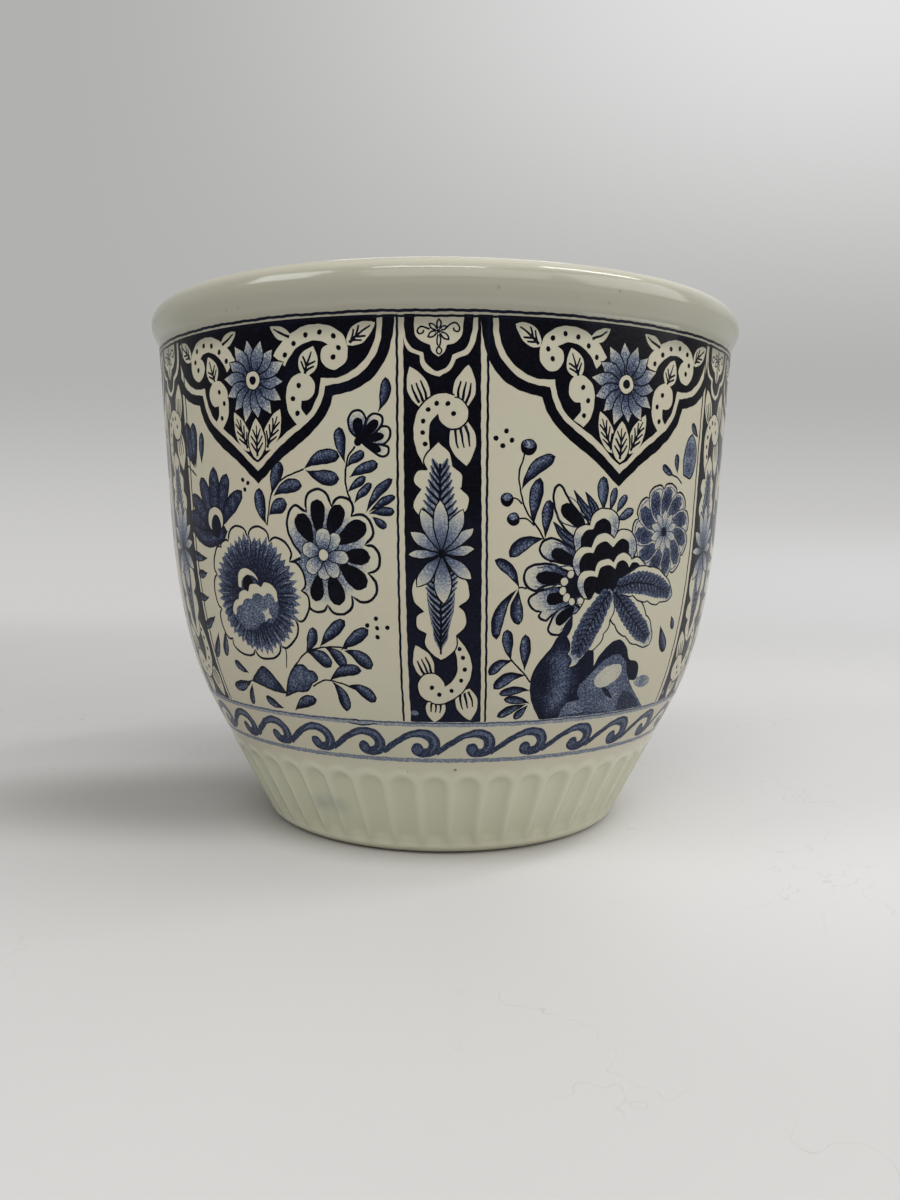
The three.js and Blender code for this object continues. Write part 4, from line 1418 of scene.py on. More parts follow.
def draw_wave(pen):
    """One running wave: an arm that rises to a crest and curls down to a bulb."""
    body = pointed(
        [(1.6, 38.8), (4.6, 40.7), (8.2, 42.6), (12.3, 43.7), (16.4, 43.0), (18.9, 40.4), (19.2, 38.0),
         (18.2, 35.8), (15.8, 34.7), (12.5, 34.5), (10.2, 35.3), (9.2, 36.9), (9.8, 38.6),
         (11.5, 39.2), (12.8, 38.6), (13.5, 37.4)],
        [(14.8, 37.6), (15.3, 38.9), (14.5, 40.2), (12.5, 41.0), (9.8, 40.9), (7.2, 39.9), (4.3, 38.2),
         (1.8, 36.6), (-0.5, 35.2)],
        [(-1.3, 36.5)],
    )
    pen.fill(body, 0.79)
    crest = [(7.2, 41.0), (12.4, 42.4), (16.4, 41.4), (17.5, 38.6), (16.0, 36.2)]
    pen.fill(ribbon(crest, [0.2, 0.9, 1.1, 1.0, 0.3]), 0.62)
    pen.fill(ellipse((11.4, 37.0), 1.3, 1.2), 0.7)


def draw_rim_line(pen):
    """The line under the lip, all the way round."""
    turn = 2 * math.pi * RULE_RADIUS
    line = [(x, 156.2 + 0.05 * math.sin(24 * x / RULE_RADIUS)) for x in np.linspace(-5, turn + 5, 240)]
    pen.fill(ribbon(line, 0.78), 0.95)


def draw_border(pen_marks, first_turn, last_turn):
    """The running wave border between two grey lines, with the smudged joint near the front."""
    pitch = 2 * math.pi * RULE_RADIUS / WAVE_COUNT
    first = math.floor(math.radians(first_turn) * RULE_RADIUS / pitch) - 2
    last = math.ceil(math.radians(last_turn) * RULE_RADIUS / pitch) + 2
    for k in range(first, last):
        draw_wave(Pen(pen_marks, k * pitch))
    line = Pen(pen_marks)
    start = math.radians(first_turn) * RULE_RADIUS - 3
    end = math.radians(last_turn) * RULE_RADIUS + 3
    steps = np.linspace(start, end, int((end - start) / 6))
    line.fill(ribbon([(x, 45.2) for x in steps], 1.5), 0.36)
    line.fill(ribbon([(x, 45.6) for x in steps], 0.4), 0.7)
    line.fill(ribbon([(x, 33.5) for x in steps], 1.35), 0.44)
    reaches_the_front_joint = last_turn > 350
    if reaches_the_front_joint:
        front = Pen(pen_marks, 2 * math.pi * RULE_RADIUS)
        front.stroke([(-36.0, 46.0), (-31.0, 46.4), (-26.5, 45.7)], [0.3, 0.7, 0.4], 0.86)
        front.stroke([(-30.5, 44.6), (-26.0, 44.3), (-20.5, 44.8)], [0.3, 0.6, 0.3], 0.8)
        front.stroke([(-0.6, 42.6), (-0.9, 38.6), (-1.1, 34.8)], [0.5, 1.0, 0.7], 0.5)


# Sheets

# The printed front takes the lower part of a sheet's UV map, and the back and sides the strip above it
FRONT_UV_SHARE = 0.95
BACK_UV_START = 0.96


def sheet_corners(left, right, bottom, top, step=1.6):
    """The edge of a sheet, against the clock, with points close enough to follow the wall."""
    across = np.linspace(left, right, max(2, math.ceil((right - left) / step) + 1))
    up = np.linspace(bottom, top, max(2, math.ceil((top - bottom) / step) + 1))
    lower = [(x, bottom) for x in across[:-1]]
    far = [(right, z) for z in up[:-1]]
    upper = [(x, top) for x in across[:0:-1]]
    near = [(left, z) for z in up[:0:-1]]
    return np.array(lower + far + upper + near)


def grid_inside(left, right, bottom, top, step):
    across = np.arange(left + step, right - step * 0.5, step)
    up = np.arange(bottom + step, top - step * 0.5, step)
    return np.array([(x, z) for x in across for z in up]).reshape(-1, 2)


def inside(points, outline):
    """Which points an outline winds round."""
    x, z = points[:, 0:1], points[:, 1:2]
    from_x, from_z = outline[:, 0], outline[:, 1]
    to_x, to_z = np.roll(from_x, -1), np.roll(from_z, -1)
    left_of = (to_x - from_x) * (z - from_z) - (x - from_x) * (to_z - from_z)
    upward = ((from_z <= z) & (to_z > z) & (left_of > 0)).sum(axis=1)
    downward = ((from_z > z) & (to_z <= z) & (left_of < 0)).sum(axis=1)
    return upward != downward


def cut_front(edge, marks, left, right, bottom, top):
    """Cuts the marks into one flat set of triangles and gives points, triangles and corner tones."""
    outlines = [edge]
    tones = [(0.0, 0.0, 1)]
    loose = [grid_inside(left, right, bottom, top, 3.0)]
    for outline, tone, seeds, middle, side in marks:
        low, high = outline.min(axis=0), outline.max(axis=0)
        if high[0] < left or low[0] > right or high[1] < bottom or low[1] > top:
            continue
        outlines.append(outline)
        tones.append((tone, middle, side))
        if seeds is not None:
            in_sheet = (seeds > (left, bottom)).all(axis=1) & (seeds < (right, top)).all(axis=1)
            loose.append(seeds[in_sheet])
    points = np.vstack(outlines + loose)
    edges = []
    start = 0
    for outline in outlines:
        count = len(outline)
        edges += [(start + i, start + (i + 1) % count) for i in range(count)]
        start += count
    cut = delaunay_2d_cdt([Vector(p) for p in points], edges, [], 0, 1e-5, False)
    flat = np.array([tuple(p) for p in cut[0]])
    triangles = np.array(cut[2])
    middles = flat[triangles].mean(axis=1)
    kept = (middles > (left, bottom)).all(axis=1) & (middles < (right, top)).all(axis=1)
    triangles = triangles[kept]
    middles = middles[kept]
    used, triangles = np.unique(triangles, return_inverse=True)
    flat = flat[used]
    triangles = triangles.reshape(-1, 3)
    owners = np.zeros(len(triangles), int)
    for owner, outline in enumerate(outlines[1:], 1):
        low, high = outline.min(axis=0), outline.max(axis=0)
        near = np.flatnonzero(((middles > low) & (middles < high)).all(axis=1))
        owners[near[inside(middles[near], outline)]] = owner
    a, b, c = flat[triangles[:, 0]], flat[triangles[:, 1]], flat[triangles[:, 2]]
    area = (b[:, 0] - a[:, 0]) * (c[:, 1] - a[:, 1]) - (c[:, 0] - a[:, 0]) * (b[:, 1] - a[:, 1])
    triangles[area < 0] = triangles[area < 0][:, ::-1]
    ink = np.zeros((len(triangles), 3))
    for owner in np.unique(owners):
        rows = owners == owner
        tone, middle, side = tones[owner]
        if callable(tone):
            places = flat[triangles[rows]].reshape(-1, 2).copy()
            places[:, 0] = (places[:, 0] - middle) / side
            ink[rows] = tone(places).reshape(-1, 3)
        else:
            ink[rows] = tone
    return flat, triangles, ink


def border_loop(triangles):
    """The outer edges of a set of triangles, as pairs in the direction of their triangle."""
    edges = np.vstack([triangles[:, [0, 1]], triangles[:, [1, 2]], triangles[:, [2, 0]]])
    seen = {}
    for a, b in edges.tolist():
        if (b, a) in seen:
            del seen[(b, a)]
        else:
            seen[(a, b)] = True
    return list(seen)


def cut_back(flat, loop, left, right, bottom, top):
    """A plain back with the front's edge points and few others."""
    names = sorted({a for a, b in loop})
    row = {name: i for i, name in enumerate(names)}
    points = np.vstack([flat[names], grid_inside(left, right, bottom, top, 3.5)])
    edges = [(row[a], row[b]) for a, b in loop]
    cut = delaunay_2d_cdt([Vector(p) for p in points], edges, [], 1, 1e-6, True)
    back = np.array([tuple(p) for p in cut[0]])
    found = {}
    for index, origins in enumerate(cut[3]):
        for origin in origins:
            if origin < len(names):
                found[names[origin]] = index
    return back, [list(face) for face in cut[2]], found


def store_values(mesh, name, domain, values):
    mesh.attributes.new(name, "FLOAT", domain).data.foreach_set("value", values)


def read_values(items, key, kind=float, width=1):
    """One value, or a row of width values, from each item of a mesh."""
    values = np.zeros(len(items) * width, kind)
    items.foreach_get(key, values)
    return values if width == 1 else values.reshape(-1, width)


def flat_sheet(name, marks, left, right, bottom, top, thickness):
    """A closed flat sheet: printed front, plain back and the narrow sides between them."""
    edge = sheet_corners(left, right, bottom, top)
    flat, triangles, ink = cut_front(edge, marks, left, right, bottom, top)
    loop = border_loop(triangles)
    back, back_faces, found = cut_back(flat, loop, left, right, bottom, top)
    shift = len(flat)
    first = back[back_faces[0]]
    turn = signed_area(first)
    faces = [tuple(face) for face in triangles.tolist()]
    front_count = len(faces)
    for face in back_faces:
        order = face[::-1] if turn > 0 else face
        faces.append(tuple(shift + i for i in order))
    for a, b in loop:
        faces.append((b, a, shift + found[a], shift + found[b]))
    points = np.vstack([flat, back])
    depth = np.concatenate([np.zeros(len(flat)), np.full(len(back), thickness)])
    mesh = bpy.data.meshes.new(name)
    mesh.from_pydata(np.stack([points[:, 0], depth, points[:, 1]], axis=1) * MM, [], faces)
    store_values(mesh, "wall_radius", "POINT", wall_radius(points[:, 1]) * MM)
    tones = np.zeros(len(mesh.loops))
    tones[:front_count * 3] = ink.reshape(-1)
    store_values(mesh, "ink", "CORNER", tones)
    corners = read_values(mesh.loops, "vertex_index", int)
    u = (points[corners, 0] - left) / (right - left)
    v = (points[corners, 1] - bottom) / (top - bottom)
    v[:front_count * 3] *= FRONT_UV_SHARE
    v[front_count * 3:] = BACK_UV_START + v[front_count * 3:] * (1 - BACK_UV_START)
    layer = mesh.uv_layers.new(name="OFBake")
    layer.data.foreach_set("uv", np.stack([u, v], axis=1).reshape(-1))
    return mesh, front_count


def new_tree(name, sockets):
    """A Geometry Nodes tree with named inputs, its board, and a wire from each input."""
    tree = bpy.data.node_groups.new(name, "GeometryNodeTree")
    face = tree.interface
    face.new_socket("Geometry", in_out="INPUT", socket_type="NodeSocketGeometry")
    for label, kind in sockets:
        face.new_socket(label, in_out="INPUT", socket_type="NodeSocket" + kind)
    face.new_socket("Geometry", in_out="OUTPUT", socket_type="NodeSocketGeometry")
    board = Board(tree)
    given = board.add("NodeGroupInput").socket.node
    return tree, board, [Wire(board, given.outputs[i]) for i in range(len(sockets) + 1)]


def wall_tree():
    """Geometry Nodes tree that lays a flat sheet on the round wall."""
    sockets = [("Rule Radius", "Float"), ("Turn", "Float"), ("Finish", "Material")]
    tree, board, (sheet, rule, turn, finish) = new_tree("lay_on_wall", sockets)
    x, depth, z = board.parts(board.add("GeometryNodeInputPosition"))
    place = board.round_place(x / rule + turn, board.named("wall_radius") - depth, z)
    laid = board.add("GeometryNodeSetPosition", None, {"Geometry": sheet, "Position": place})
    board.end_tree(laid, finish)
    return tree


def run_tree(carrier, tree, values):
    """Runs a tree on an object with named input values and gives the result as a plain mesh."""
    modifier = carrier.modifiers.new("shape", "NODES")
    modifier.node_group = tree
    for item in tree.interface.items_tree:
        if item.item_type == "SOCKET" and item.in_out == "INPUT" and item.name in values:
            modifier[item.identifier] = values[item.name]
    bpy.context.view_layer.update()
    evaluated = carrier.evaluated_get(bpy.context.evaluated_depsgraph_get())
    mesh = bpy.data.meshes.new_from_object(evaluated)
    carrier.modifiers.remove(modifier)
    return mesh


def link_object(name, mesh):
    piece = bpy.data.objects.new(name, mesh)
    bpy.context.scene.collection.objects.link(piece)
    return piece


def wall_normals(mesh, front_count):
    """Smooth normals on the printed front, so that neighbouring sheets and the body shade as one."""
    mesh.polygons.foreach_set("use_smooth", np.ones(len(mesh.polygons), bool))
    places = read_values(mesh.vertices, "co", width=3) / MM
    round_part = places[:, :2] / np.linalg.norm(places[:, :2], axis=1)[:, None]
    outward = np.column_stack([round_part, -wall_slope(places[:, 2])])
    outward /= np.linalg.norm(outward, axis=1)[:, None]
    normals = outward[read_values(mesh.loops, "vertex_index", int)]
    flat = read_values(mesh.polygons, "normal", width=3)
    owner = np.repeat(np.arange(len(mesh.polygons)), read_values(mesh.polygons, "loop_total", int))
    plain = owner >= front_count
    normals[plain] = flat[owner[plain]]
    mesh.normals_split_custom_set(normals.tolist())


def lay_sheets(places, slot, finish, marks, turn_from, turn_to, bottom, top, thickness):
    """Cuts one printed sheet, then wraps a copy for each place. A place is a CAD node's name and a turn."""
    left = math.radians(turn_from) * RULE_RADIUS
    right = math.radians(turn_to) * RULE_RADIUS
    mesh, front_count = flat_sheet(slot + "_flat", marks, left, right, bottom, top, thickness)
    carrier = link_object(slot + "_flat", mesh)
    tree = bpy.data.node_groups.get("lay_on_wall") or wall_tree()
    for name, turn_on in places:
        laid = run_tree(carrier, tree, {
            "Rule Radius": RULE_RADIUS * MM,
            "Turn": math.radians(turn_on),
            "Finish": finish,
        })
        laid.name = name
        wall_normals(laid, front_count)
        dress(link_object(name + "_looks", laid), name)
    bpy.data.objects.remove(carrier)


def dress(piece, node):
    """Hangs a finished piece on the root body and hides the CAD node that it takes the place of."""
    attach(piece, "root")
    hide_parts(node)


# Body

def arc(centre, reach, first, last, count):
    """Points along an ellipse, with its reach across and up, between two angles in degrees."""
    turns = np.radians(np.linspace(first, last, count))
    return [(centre[0] + reach[0] * math.cos(turn),
             centre[1] + reach[1] * math.sin(turn)) for turn in turns]


def body_profile(shape):
    """The turned profile, from the middle of the inner floor over the lip to the middle of the underside.
    Each point is (radius, height, pressed), where pressed is 1 on the fluted skirt."""

    def inner_radius(z):
        return float(wall_radius(z)) - shape.wall_thickness * math.hypot(1, float(wall_slope(z)))

    floor = shape.floor_height
    fillet_top = floor + INNER_FILLET
    inner = inner_radius(WALL_TOP[1])
    crown = LIP_RADIUS - LIP_CROWN_INSET
    top = WALL_TOP[1] + LIP_SWELL + LIP_CROWN
    rounding_start = top - LIP_INNER_ROUNDING
    plain = [(r, floor) for r in (0, 2, 8, 20, 34, 46)]
    fillet_middle = (inner_radius(fillet_top) - INNER_FILLET, fillet_top)
    plain += arc(fillet_middle, (INNER_FILLET, INNER_FILLET), -90, 0, 9)
    plain += [(inner_radius(z), z) for z in np.linspace(fillet_top, WALL_TOP[1], 34)[1:]]
    plain.append((inner, rounding_start - 4))
    plain += arc((crown, rounding_start), (crown - inner, LIP_INNER_ROUNDING), 180, 90, 9)
    plain += arc((crown, top - LIP_CROWN), (LIP_CROWN_INSET, LIP_CROWN), 90, 0, 15)[1:]
    for share in np.linspace(1, 0, 11)[1:]:
        out = (1 - math.cos(math.pi * share)) / 2
        plain.append((WALL_TOP[0] + (LIP_RADIUS - WALL_TOP[0]) * out, WALL_TOP[1] + LIP_SWELL * share))
    plain.append((float(wall_radius(RIM_LINE_TOP)), RIM_LINE_TOP))
    recess_heights = np.linspace(RIM_LINE_TOP, RECESS_BOTTOM, 26)
    plain += [(float(wall_radius(z)) - RECESS_DEPTH, z) for z in recess_heights]
    plain.append((float(wall_radius(RECESS_BOTTOM)), RECESS_BOTTOM))
    heights = list(np.linspace(RECESS_BOTTOM, HEEL_HEIGHT, 42)[1:])
    heights += [HEEL_HEIGHT * (1 - math.sin(math.radians(angle))) for angle in np.linspace(0, 90, 9)[1:]]
    skirt = [(float(wall_radius(z)), z) for z in heights]
    foot = FOOT_EDGE + [(r, UNDERSIDE_HEIGHT) for r in (36, 20, 8, 2, 0)]
    parts = ((plain, 0), (skirt, 1), (foot, 0))
    return [(*point, pressed) for points, pressed in parts for point in points]


def pot_tree():
    """Geometry Nodes tree that turns a profile round the axis and presses the flutes into its skirt."""
    tree, board, (profile, rows, steps, flutes, first, width, depth, bottom, top, ridge,
                  glaze) = new_tree("turned_pot", [
        ("Profile Points", "Int"), ("Steps Round", "Int"), ("Flute Count", "Int"),
        ("First Flute", "Float"), ("Flute Width", "Float"), ("Flute Depth", "Float"),
        ("Flute Bottom", "Float"), ("Flute Top", "Float"), ("Ridge Width", "Float"),
        ("Glaze", "Material"),
    ])
    grid = board.add("GeometryNodeMeshGrid", None, {
        "Size X": 1.0,
        "Size Y": 1.0,
        "Vertices X": steps + 1,
        "Vertices Y": rows,
    })
    u, v, _ = board.parts(board.add("GeometryNodeInputPosition"))
    turn = (u + 0.5) * (2 * math.pi)
    row = board.math("ROUND", (v + 0.5) * (rows - 1))

    def sampled(value, kind="FLOAT"):
        inputs = {"Geometry": profile, "Value": value, "Index": row}
        return board.add("GeometryNodeSampleIndex", {"data_type": kind, "domain": "POINT"}, inputs)

    radius, _, z = board.parts(sampled(board.add("GeometryNodeInputPosition"), "FLOAT_VECTOR"))
    pressed = sampled(board.named("pressed"))
    run = sampled(board.named("run"))
    pitch = 2 * math.pi / flutes
    arc_from_flute = board.math("WRAP", turn - first, pitch / 2, -(pitch / 2)) * radius
    half = width / 2
    above_round = board.math("MAXIMUM", z - (top - half), 0.0)
    away = board.math("SQRT", arc_from_flute * arc_from_flute + above_round * above_round)
    run_in = ((z - bottom) / half).clamped() * pressed
    across = away / half
    roundness = 0.8
    hollow = ((1.0 - across * across).clamped() ** roundness) * run_in
    from_ridge = board.math("ABSOLUTE", away - half - ridge) / (ridge * 1.6)
    swell = (1.0 - from_ridge * from_ridge).clamped() * run_in
    ridge_share = 0.28
    place = board.round_place(turn, radius - hollow * depth + swell * depth * ridge_share, z)
    marked = board.store(board.store(grid, "hollow", hollow), "ridge", swell)
    uv = board.add("ShaderNodeCombineXYZ", None, {0: u + 0.5, 1: run, 2: 0.0})
    mapped = board.store(marked, "OFBake", uv, "FLOAT2", "CORNER")
    turned_grid = board.add("GeometryNodeSetPosition", None, {"Geometry": mapped, "Position": place})
    welded = board.add("GeometryNodeMergeByDistance", None, {"Geometry": turned_grid, "Distance": 1e-6})
    smooth = board.add("GeometryNodeSetShadeSmooth", None, {"Geometry": welded})
    board.end_tree(smooth, glaze)
    return tree


def make_body(shape, look):
    """The cast pot as one closed mesh."""
    profile = np.array(body_profile(shape))
    mesh = bpy.data.meshes.new("profile")
    places = np.column_stack([profile[:, 0], np.zeros(len(profile)), profile[:, 1]]) * MM
    mesh.from_pydata(places, [(i, i + 1) for i in range(len(profile) - 1)], [])
    store_values(mesh, "pressed", "POINT", profile[:, 2])
    lengths = np.concatenate([[0], np.cumsum(np.linalg.norm(np.diff(places, axis=0), axis=1))])
    store_values(mesh, "run", "POINT", lengths / lengths[-1])
    carrier = link_object("profile", mesh)
    body = run_tree(carrier, pot_tree(), {
        "Profile Points": len(profile),
        "Steps Round": shape.steps_round,
        "Flute Count": shape.flute_count,
        "First Flute": math.radians(shape.first_flute),
        "Flute Width": shape.flute_width * MM,
        "Flute Depth": shape.flute_depth * MM,
        "Flute Bottom": shape.flute_bottom * MM,
        "Flute Top": shape.flute_top * MM,
        "Ridge Width": shape.ridge_width * MM,
        "Glaze": body_material(look),
    })
    bpy.data.objects.remove(carrier)
    body.name = "earthenware_body"
    if sum(face.center.dot(face.normal) * face.area for face in body.polygons) < 0:
        body.flip_normals()
    body.set_sharp_from_angle(angle=math.radians(38))
    dress(link_object("earthenware_body_looks", body), "earthenware_body")


# Settings

def colour_property(name, description, screen_colour):
    return FloatVectorProperty(name=name, description=description, subtype="COLOR", size=3, min=0, max=1,
                               default=linear(*screen_colour)[:3])


def size_property(name, description, default, low=0.0):
    return FloatProperty(name=name, description=description + ", in millimetres", default=default,
                         min=low, max=500.0)


def power_property(name, description, default):
    return FloatProperty(name=name, description="Power of " + description + ", in watts", default=default,
                         min=0)


def angle_property(name, description, default):
    return FloatProperty(name=name, description=description + ", in degrees", default=default)


class PotShape(PropertyGroup):
    wall_thickness: size_property("Wall thickness", "Thickness of the cast wall", 6.0)
    floor_height: size_property("Floor height", "Height of the inner floor above the table", 9.0)
    steps_round: IntProperty(name="Steps round", description="Facets round the pot", default=576, min=96,
                             max=576)
    flute_count: IntProperty(name="Flutes", description="Flutes round the skirt", default=48, min=12,
                             max=96)
    first_flute: angle_property("First flute", "Angle of the first flute from the front", -1.0)
    flute_width: size_property("Flute width", "Width of a flute", 7.2)
    flute_depth: size_property("Flute depth", "Depth of a flute", 1.0)
    flute_bottom: size_property("Flute bottom", "Height where the flutes run out", 3.0)
    flute_top: size_property("Flute top", "Height of the flutes' round tops", 27.5)
    ridge_width: size_property("Ridge width", "Width of the soft ridge round a flute", 1.0)


class PrintLayout(PropertyGroup):
    thickness: size_property("Sheet thickness", "Thickness of a printed sheet", 0.4)
    first_joint: angle_property("First joint", "Angle of the border's first joint", -1.5)
    first_shift: size_property("First design", "How far the first design stands off its panel's middle",
                               -3.73, -10.0)
    second_shift: size_property("Second design",
                                "How far the second design stands off its panel's middle", 1.73, -10.0)


class PotLook(PropertyGroup):
    cream: colour_property("Cream", "Cream glaze", (179, 175, 156))
    cream_thin: colour_property("Thin cream", "Cream glaze where it is thin and warm", (180, 172, 153))
    cream_deep: colour_property("Deep cream", "Cream glaze where it is thick", (174, 172, 153))
    glaze_pool: colour_property("Pooled glaze", "Greenish glaze in the flutes", (174, 176, 153))
    # The ridge colour is thin glaze and a painted highlight on the ridges round the flutes.
    ridge_thin_glaze_and_highlight: colour_property("Ridge glaze", "Paler glaze on the ridges round the flutes",
                                 (192, 192, 174))
    # The cove colour is painted shade in the cove under the lip.
    cove_painted_shade: colour_property("Cove glaze", "Greyed glaze in the cove under the lip", (104, 104, 95))
    # The skirt colour is a paler, greener tint towards the foot.
    skirt_pale_tint: colour_property("Skirt glaze", "Glaze over the skirt as a whole", (190, 192, 166))
    # The top colour is painted light along the top of the lip.
    top_painted_light: colour_property("Top glaze", "Glaze along the top of the lip", (192, 186, 168))
    # The lip colour is painted shade, darker than the wall's cream.
    lip_painted_shade: colour_property("Lip glaze", "Glaze on the lip", (152, 152, 137))
    biscuit: colour_property("Biscuit", "Bare clay of the foot ring", (190, 172, 146))
    biscuit_dark: colour_property("Biscuit grain", "Darker grain in the bare clay", (150, 130, 106))
    print_pale: colour_property("Pale print", "Lightest tone of the print", (138, 142, 145))
    print_mid: colour_property("Middle print", "Middle tone of the print", (88, 97, 115))
    print_deep: colour_property("Deep print", "Deep blue of the print", (56, 64, 84))
    print_navy: colour_property("Navy print", "Navy of the print", (24, 28, 46))
    print_black: colour_property("Full print", "Full ink, almost black", (4, 4, 10))


class StageLook(PropertyGroup):
    floor_colour: colour_property("Floor", "Colour of the table", (209, 208, 206))
    key_power: power_property("Overhead", "the overhead softbox", 2.0)
    right_power: power_property("Right", "the right softbox", 8.8)
    front_power: power_property("Front", "the front softbox", 5.9)
    left_power: power_property("Left", "the left softbox", 5.8)
    window_power: power_property("Windows", "a narrow window light", 2.2)
    world_strength: FloatProperty(name="World", description="Strength of the even light all round",
                                  default=0.36, min=0)
    focal_length: FloatProperty(name="Focal length", description="Camera lens", default=29.4, min=10,
                                unit="CAMERA")


# Operators

class POT_OT_body(Operator):
    """Turn the cast body and press its flutes"""
    bl_idname = "pot.body"
    bl_label = "Turn the body"

    def execute(self, context):
        scene = context.scene
        make_body(scene.pot_shape, scene.pot_look)
        return {"FINISHED"}


def draw_wall(layout):
    """Marks of the columns and panels that make up a third of the wall, and of their neighbours."""
    marks_at = {}
    for k in (-1, 0, 1, 2):
        column_marks = []
        draw_column(Pen(column_marks, math.radians(PANEL_PITCH * k) * RULE_RADIUS))
        marks_at[("column", k)] = column_marks
        panel_marks = []
        middle = math.radians(PANEL_PITCH * (k + 0.5)) * RULE_RADIUS
        if k % 2 == 0:
            draw_second_panel(Pen(panel_marks, middle + layout.second_shift))
        else:
            draw_first_panel(Pen(panel_marks, middle + layout.first_shift))
        top_line = Pen(panel_marks, middle)
        top_line.stroke([(x, TOP_LINE_HEIGHT) for x in np.arange(-36, 36.1, 6)], 0.65)
        marks_at[("panel", k)] = panel_marks
    return marks_at


def lay_round_wall(scene, kind, grain_share, neighbours, first_turn, last_turn):
    """Lays the six columns or the six panels: two designs, each cut once and laid at every other place.
    A neighbour is a kind and a step: its marks can reach into the sheet and are laid in the given order."""
    marks_at = draw_wall(scene.pot_print)
    finish = print_material(kind + "_sheet", scene.pot_look, grain_share)
    for design in (0, 1):
        marks = sum((marks_at[(other, design + step)] for other, step in neighbours), [])
        shift = PANEL_PITCH * design
        steps = range(design, PANEL_COUNT, 2)
        places = [(f"{kind}_print_{k + 1}", PANEL_PITCH * k - shift) for k in steps]
        lay_sheets(places, kind + "_print", finish, marks, shift + first_turn, shift + last_turn,
                   PANEL_BOTTOM, PANEL_TOP, scene.pot_print.thickness)


class POT_OT_columns(Operator):
    """Lay the six dark columns"""
    bl_idname = "pot.columns"
    bl_label = "Lay the columns"

    def execute(self, context):
        neighbours = (("panel", -1), ("panel", 0), ("column", 0))
        lay_round_wall(context.scene, "column", 0.5, neighbours, -COLUMN_HALF_ANGLE, COLUMN_HALF_ANGLE)
        return {"FINISHED"}


class POT_OT_panels(Operator):
    """Lay the six flower panels"""
    bl_idname = "pot.panels"
    bl_label = "Lay the flower panels"

    def execute(self, context):
        neighbours = (("panel", 0), ("column", 0), ("column", 1))
        last_turn = PANEL_PITCH - COLUMN_HALF_ANGLE
        lay_round_wall(context.scene, "panel", 0.75, neighbours, COLUMN_HALF_ANGLE, last_turn)
        return {"FINISHED"}


class POT_OT_border(Operator):
    """Lay the three strips of the wave border"""
    bl_idname = "pot.border"
    bl_label = "Lay the wave border"

    def execute(self, context):
        layout = context.scene.pot_print
        finish = print_material("border_sheet", context.scene.pot_look, 0.45)
        span = 360 / BORDER_STRIPS
        for k in range(BORDER_STRIPS):
            start = layout.first_joint + span * k
            marks = []
            draw_border(marks, start, start + span)
            lay_sheets([(f"wave_border_print_{k + 1}", 0)], "border_print", finish, marks,
                       start, start + span, RECESS_BOTTOM, PANEL_BOTTOM, layout.thickness)
        return {"FINISHED"}


class POT_OT_rim_line(Operator):
    """Lay the thin line under the lip"""
    bl_idname = "pot.rim_line"
    bl_label = "Lay the rim line"

    def execute(self, context):
        scene = context.scene
        finish = print_material("line_sheet", scene.pot_look, 0.4)
        marks = []
        draw_rim_line(Pen(marks))
        lay_sheets([("rim_line_print", 0)], "line_print", finish, marks, 0, 360, PANEL_TOP, RIM_LINE_TOP,
                   scene.pot_print.thickness)
        return {"FINISHED"}


# Stage, in metres

FLOOR_FRONT = -7.0
FLOOR_BACK = 1.0
FLOOR_HALF_WIDTH = 9.0
SWEEP_RADIUS = 0.8
BACKDROP_TOP = 5.0
FAR_GREY = (177, 177, 175)
POT_MIDDLE = (0, 0, 0.09)


def area_lamp(name, place, target, size, power):
    """A rectangular lamp that faces a target."""
    data = bpy.data.lights.new(name, "AREA")
    data.shape = "RECTANGLE"
    data.size, data.size_y = size
    data.energy = power
    lamp = bpy.data.objects.new(name, data)
    lamp.location = place
    lamp.rotation_euler = (Vector(target) - Vector(place)).to_track_quat("-Z", "Y").to_euler()
    bpy.context.scene.collection.objects.link(lamp)


def make_camera(stage):
    """The camera, placed as it was for the photograph. Its place and its angles were fitted to the
    photo's ellipses, in millimetres and radians."""
    distance = 354.43
    height = 103.48
    swing = math.radians(0.666)
    heading = 0.0064965 - swing
    pitch = 0.0851712
    roll = 0.0084850
    forward = Vector((math.sin(heading) * math.cos(pitch), math.cos(heading) * math.cos(pitch),
                      -math.sin(pitch)))
    right = Vector((math.cos(heading), -math.sin(heading), 0))
    up = right.cross(forward)
    rolled_right = right * math.cos(roll) + up * math.sin(roll)
    rolled_up = up * math.cos(roll) - right * math.sin(roll)
    data = bpy.data.cameras.new("photo_camera")
    data.sensor_fit = "AUTO"
    data.sensor_width = 36
    data.lens = stage.focal_length
    data.clip_start = 0.01
    data.clip_end = 20
    camera = bpy.data.objects.new("photo_camera", data)
    axes = Matrix((rolled_right, rolled_up, -forward)).transposed().to_4x4()
    place = Vector((distance * math.sin(swing), -distance * math.cos(swing), height)) * MM
    camera.matrix_world = Matrix.Translation(place) @ axes
    bpy.context.scene.collection.objects.link(camera)
    bpy.context.scene.camera = camera


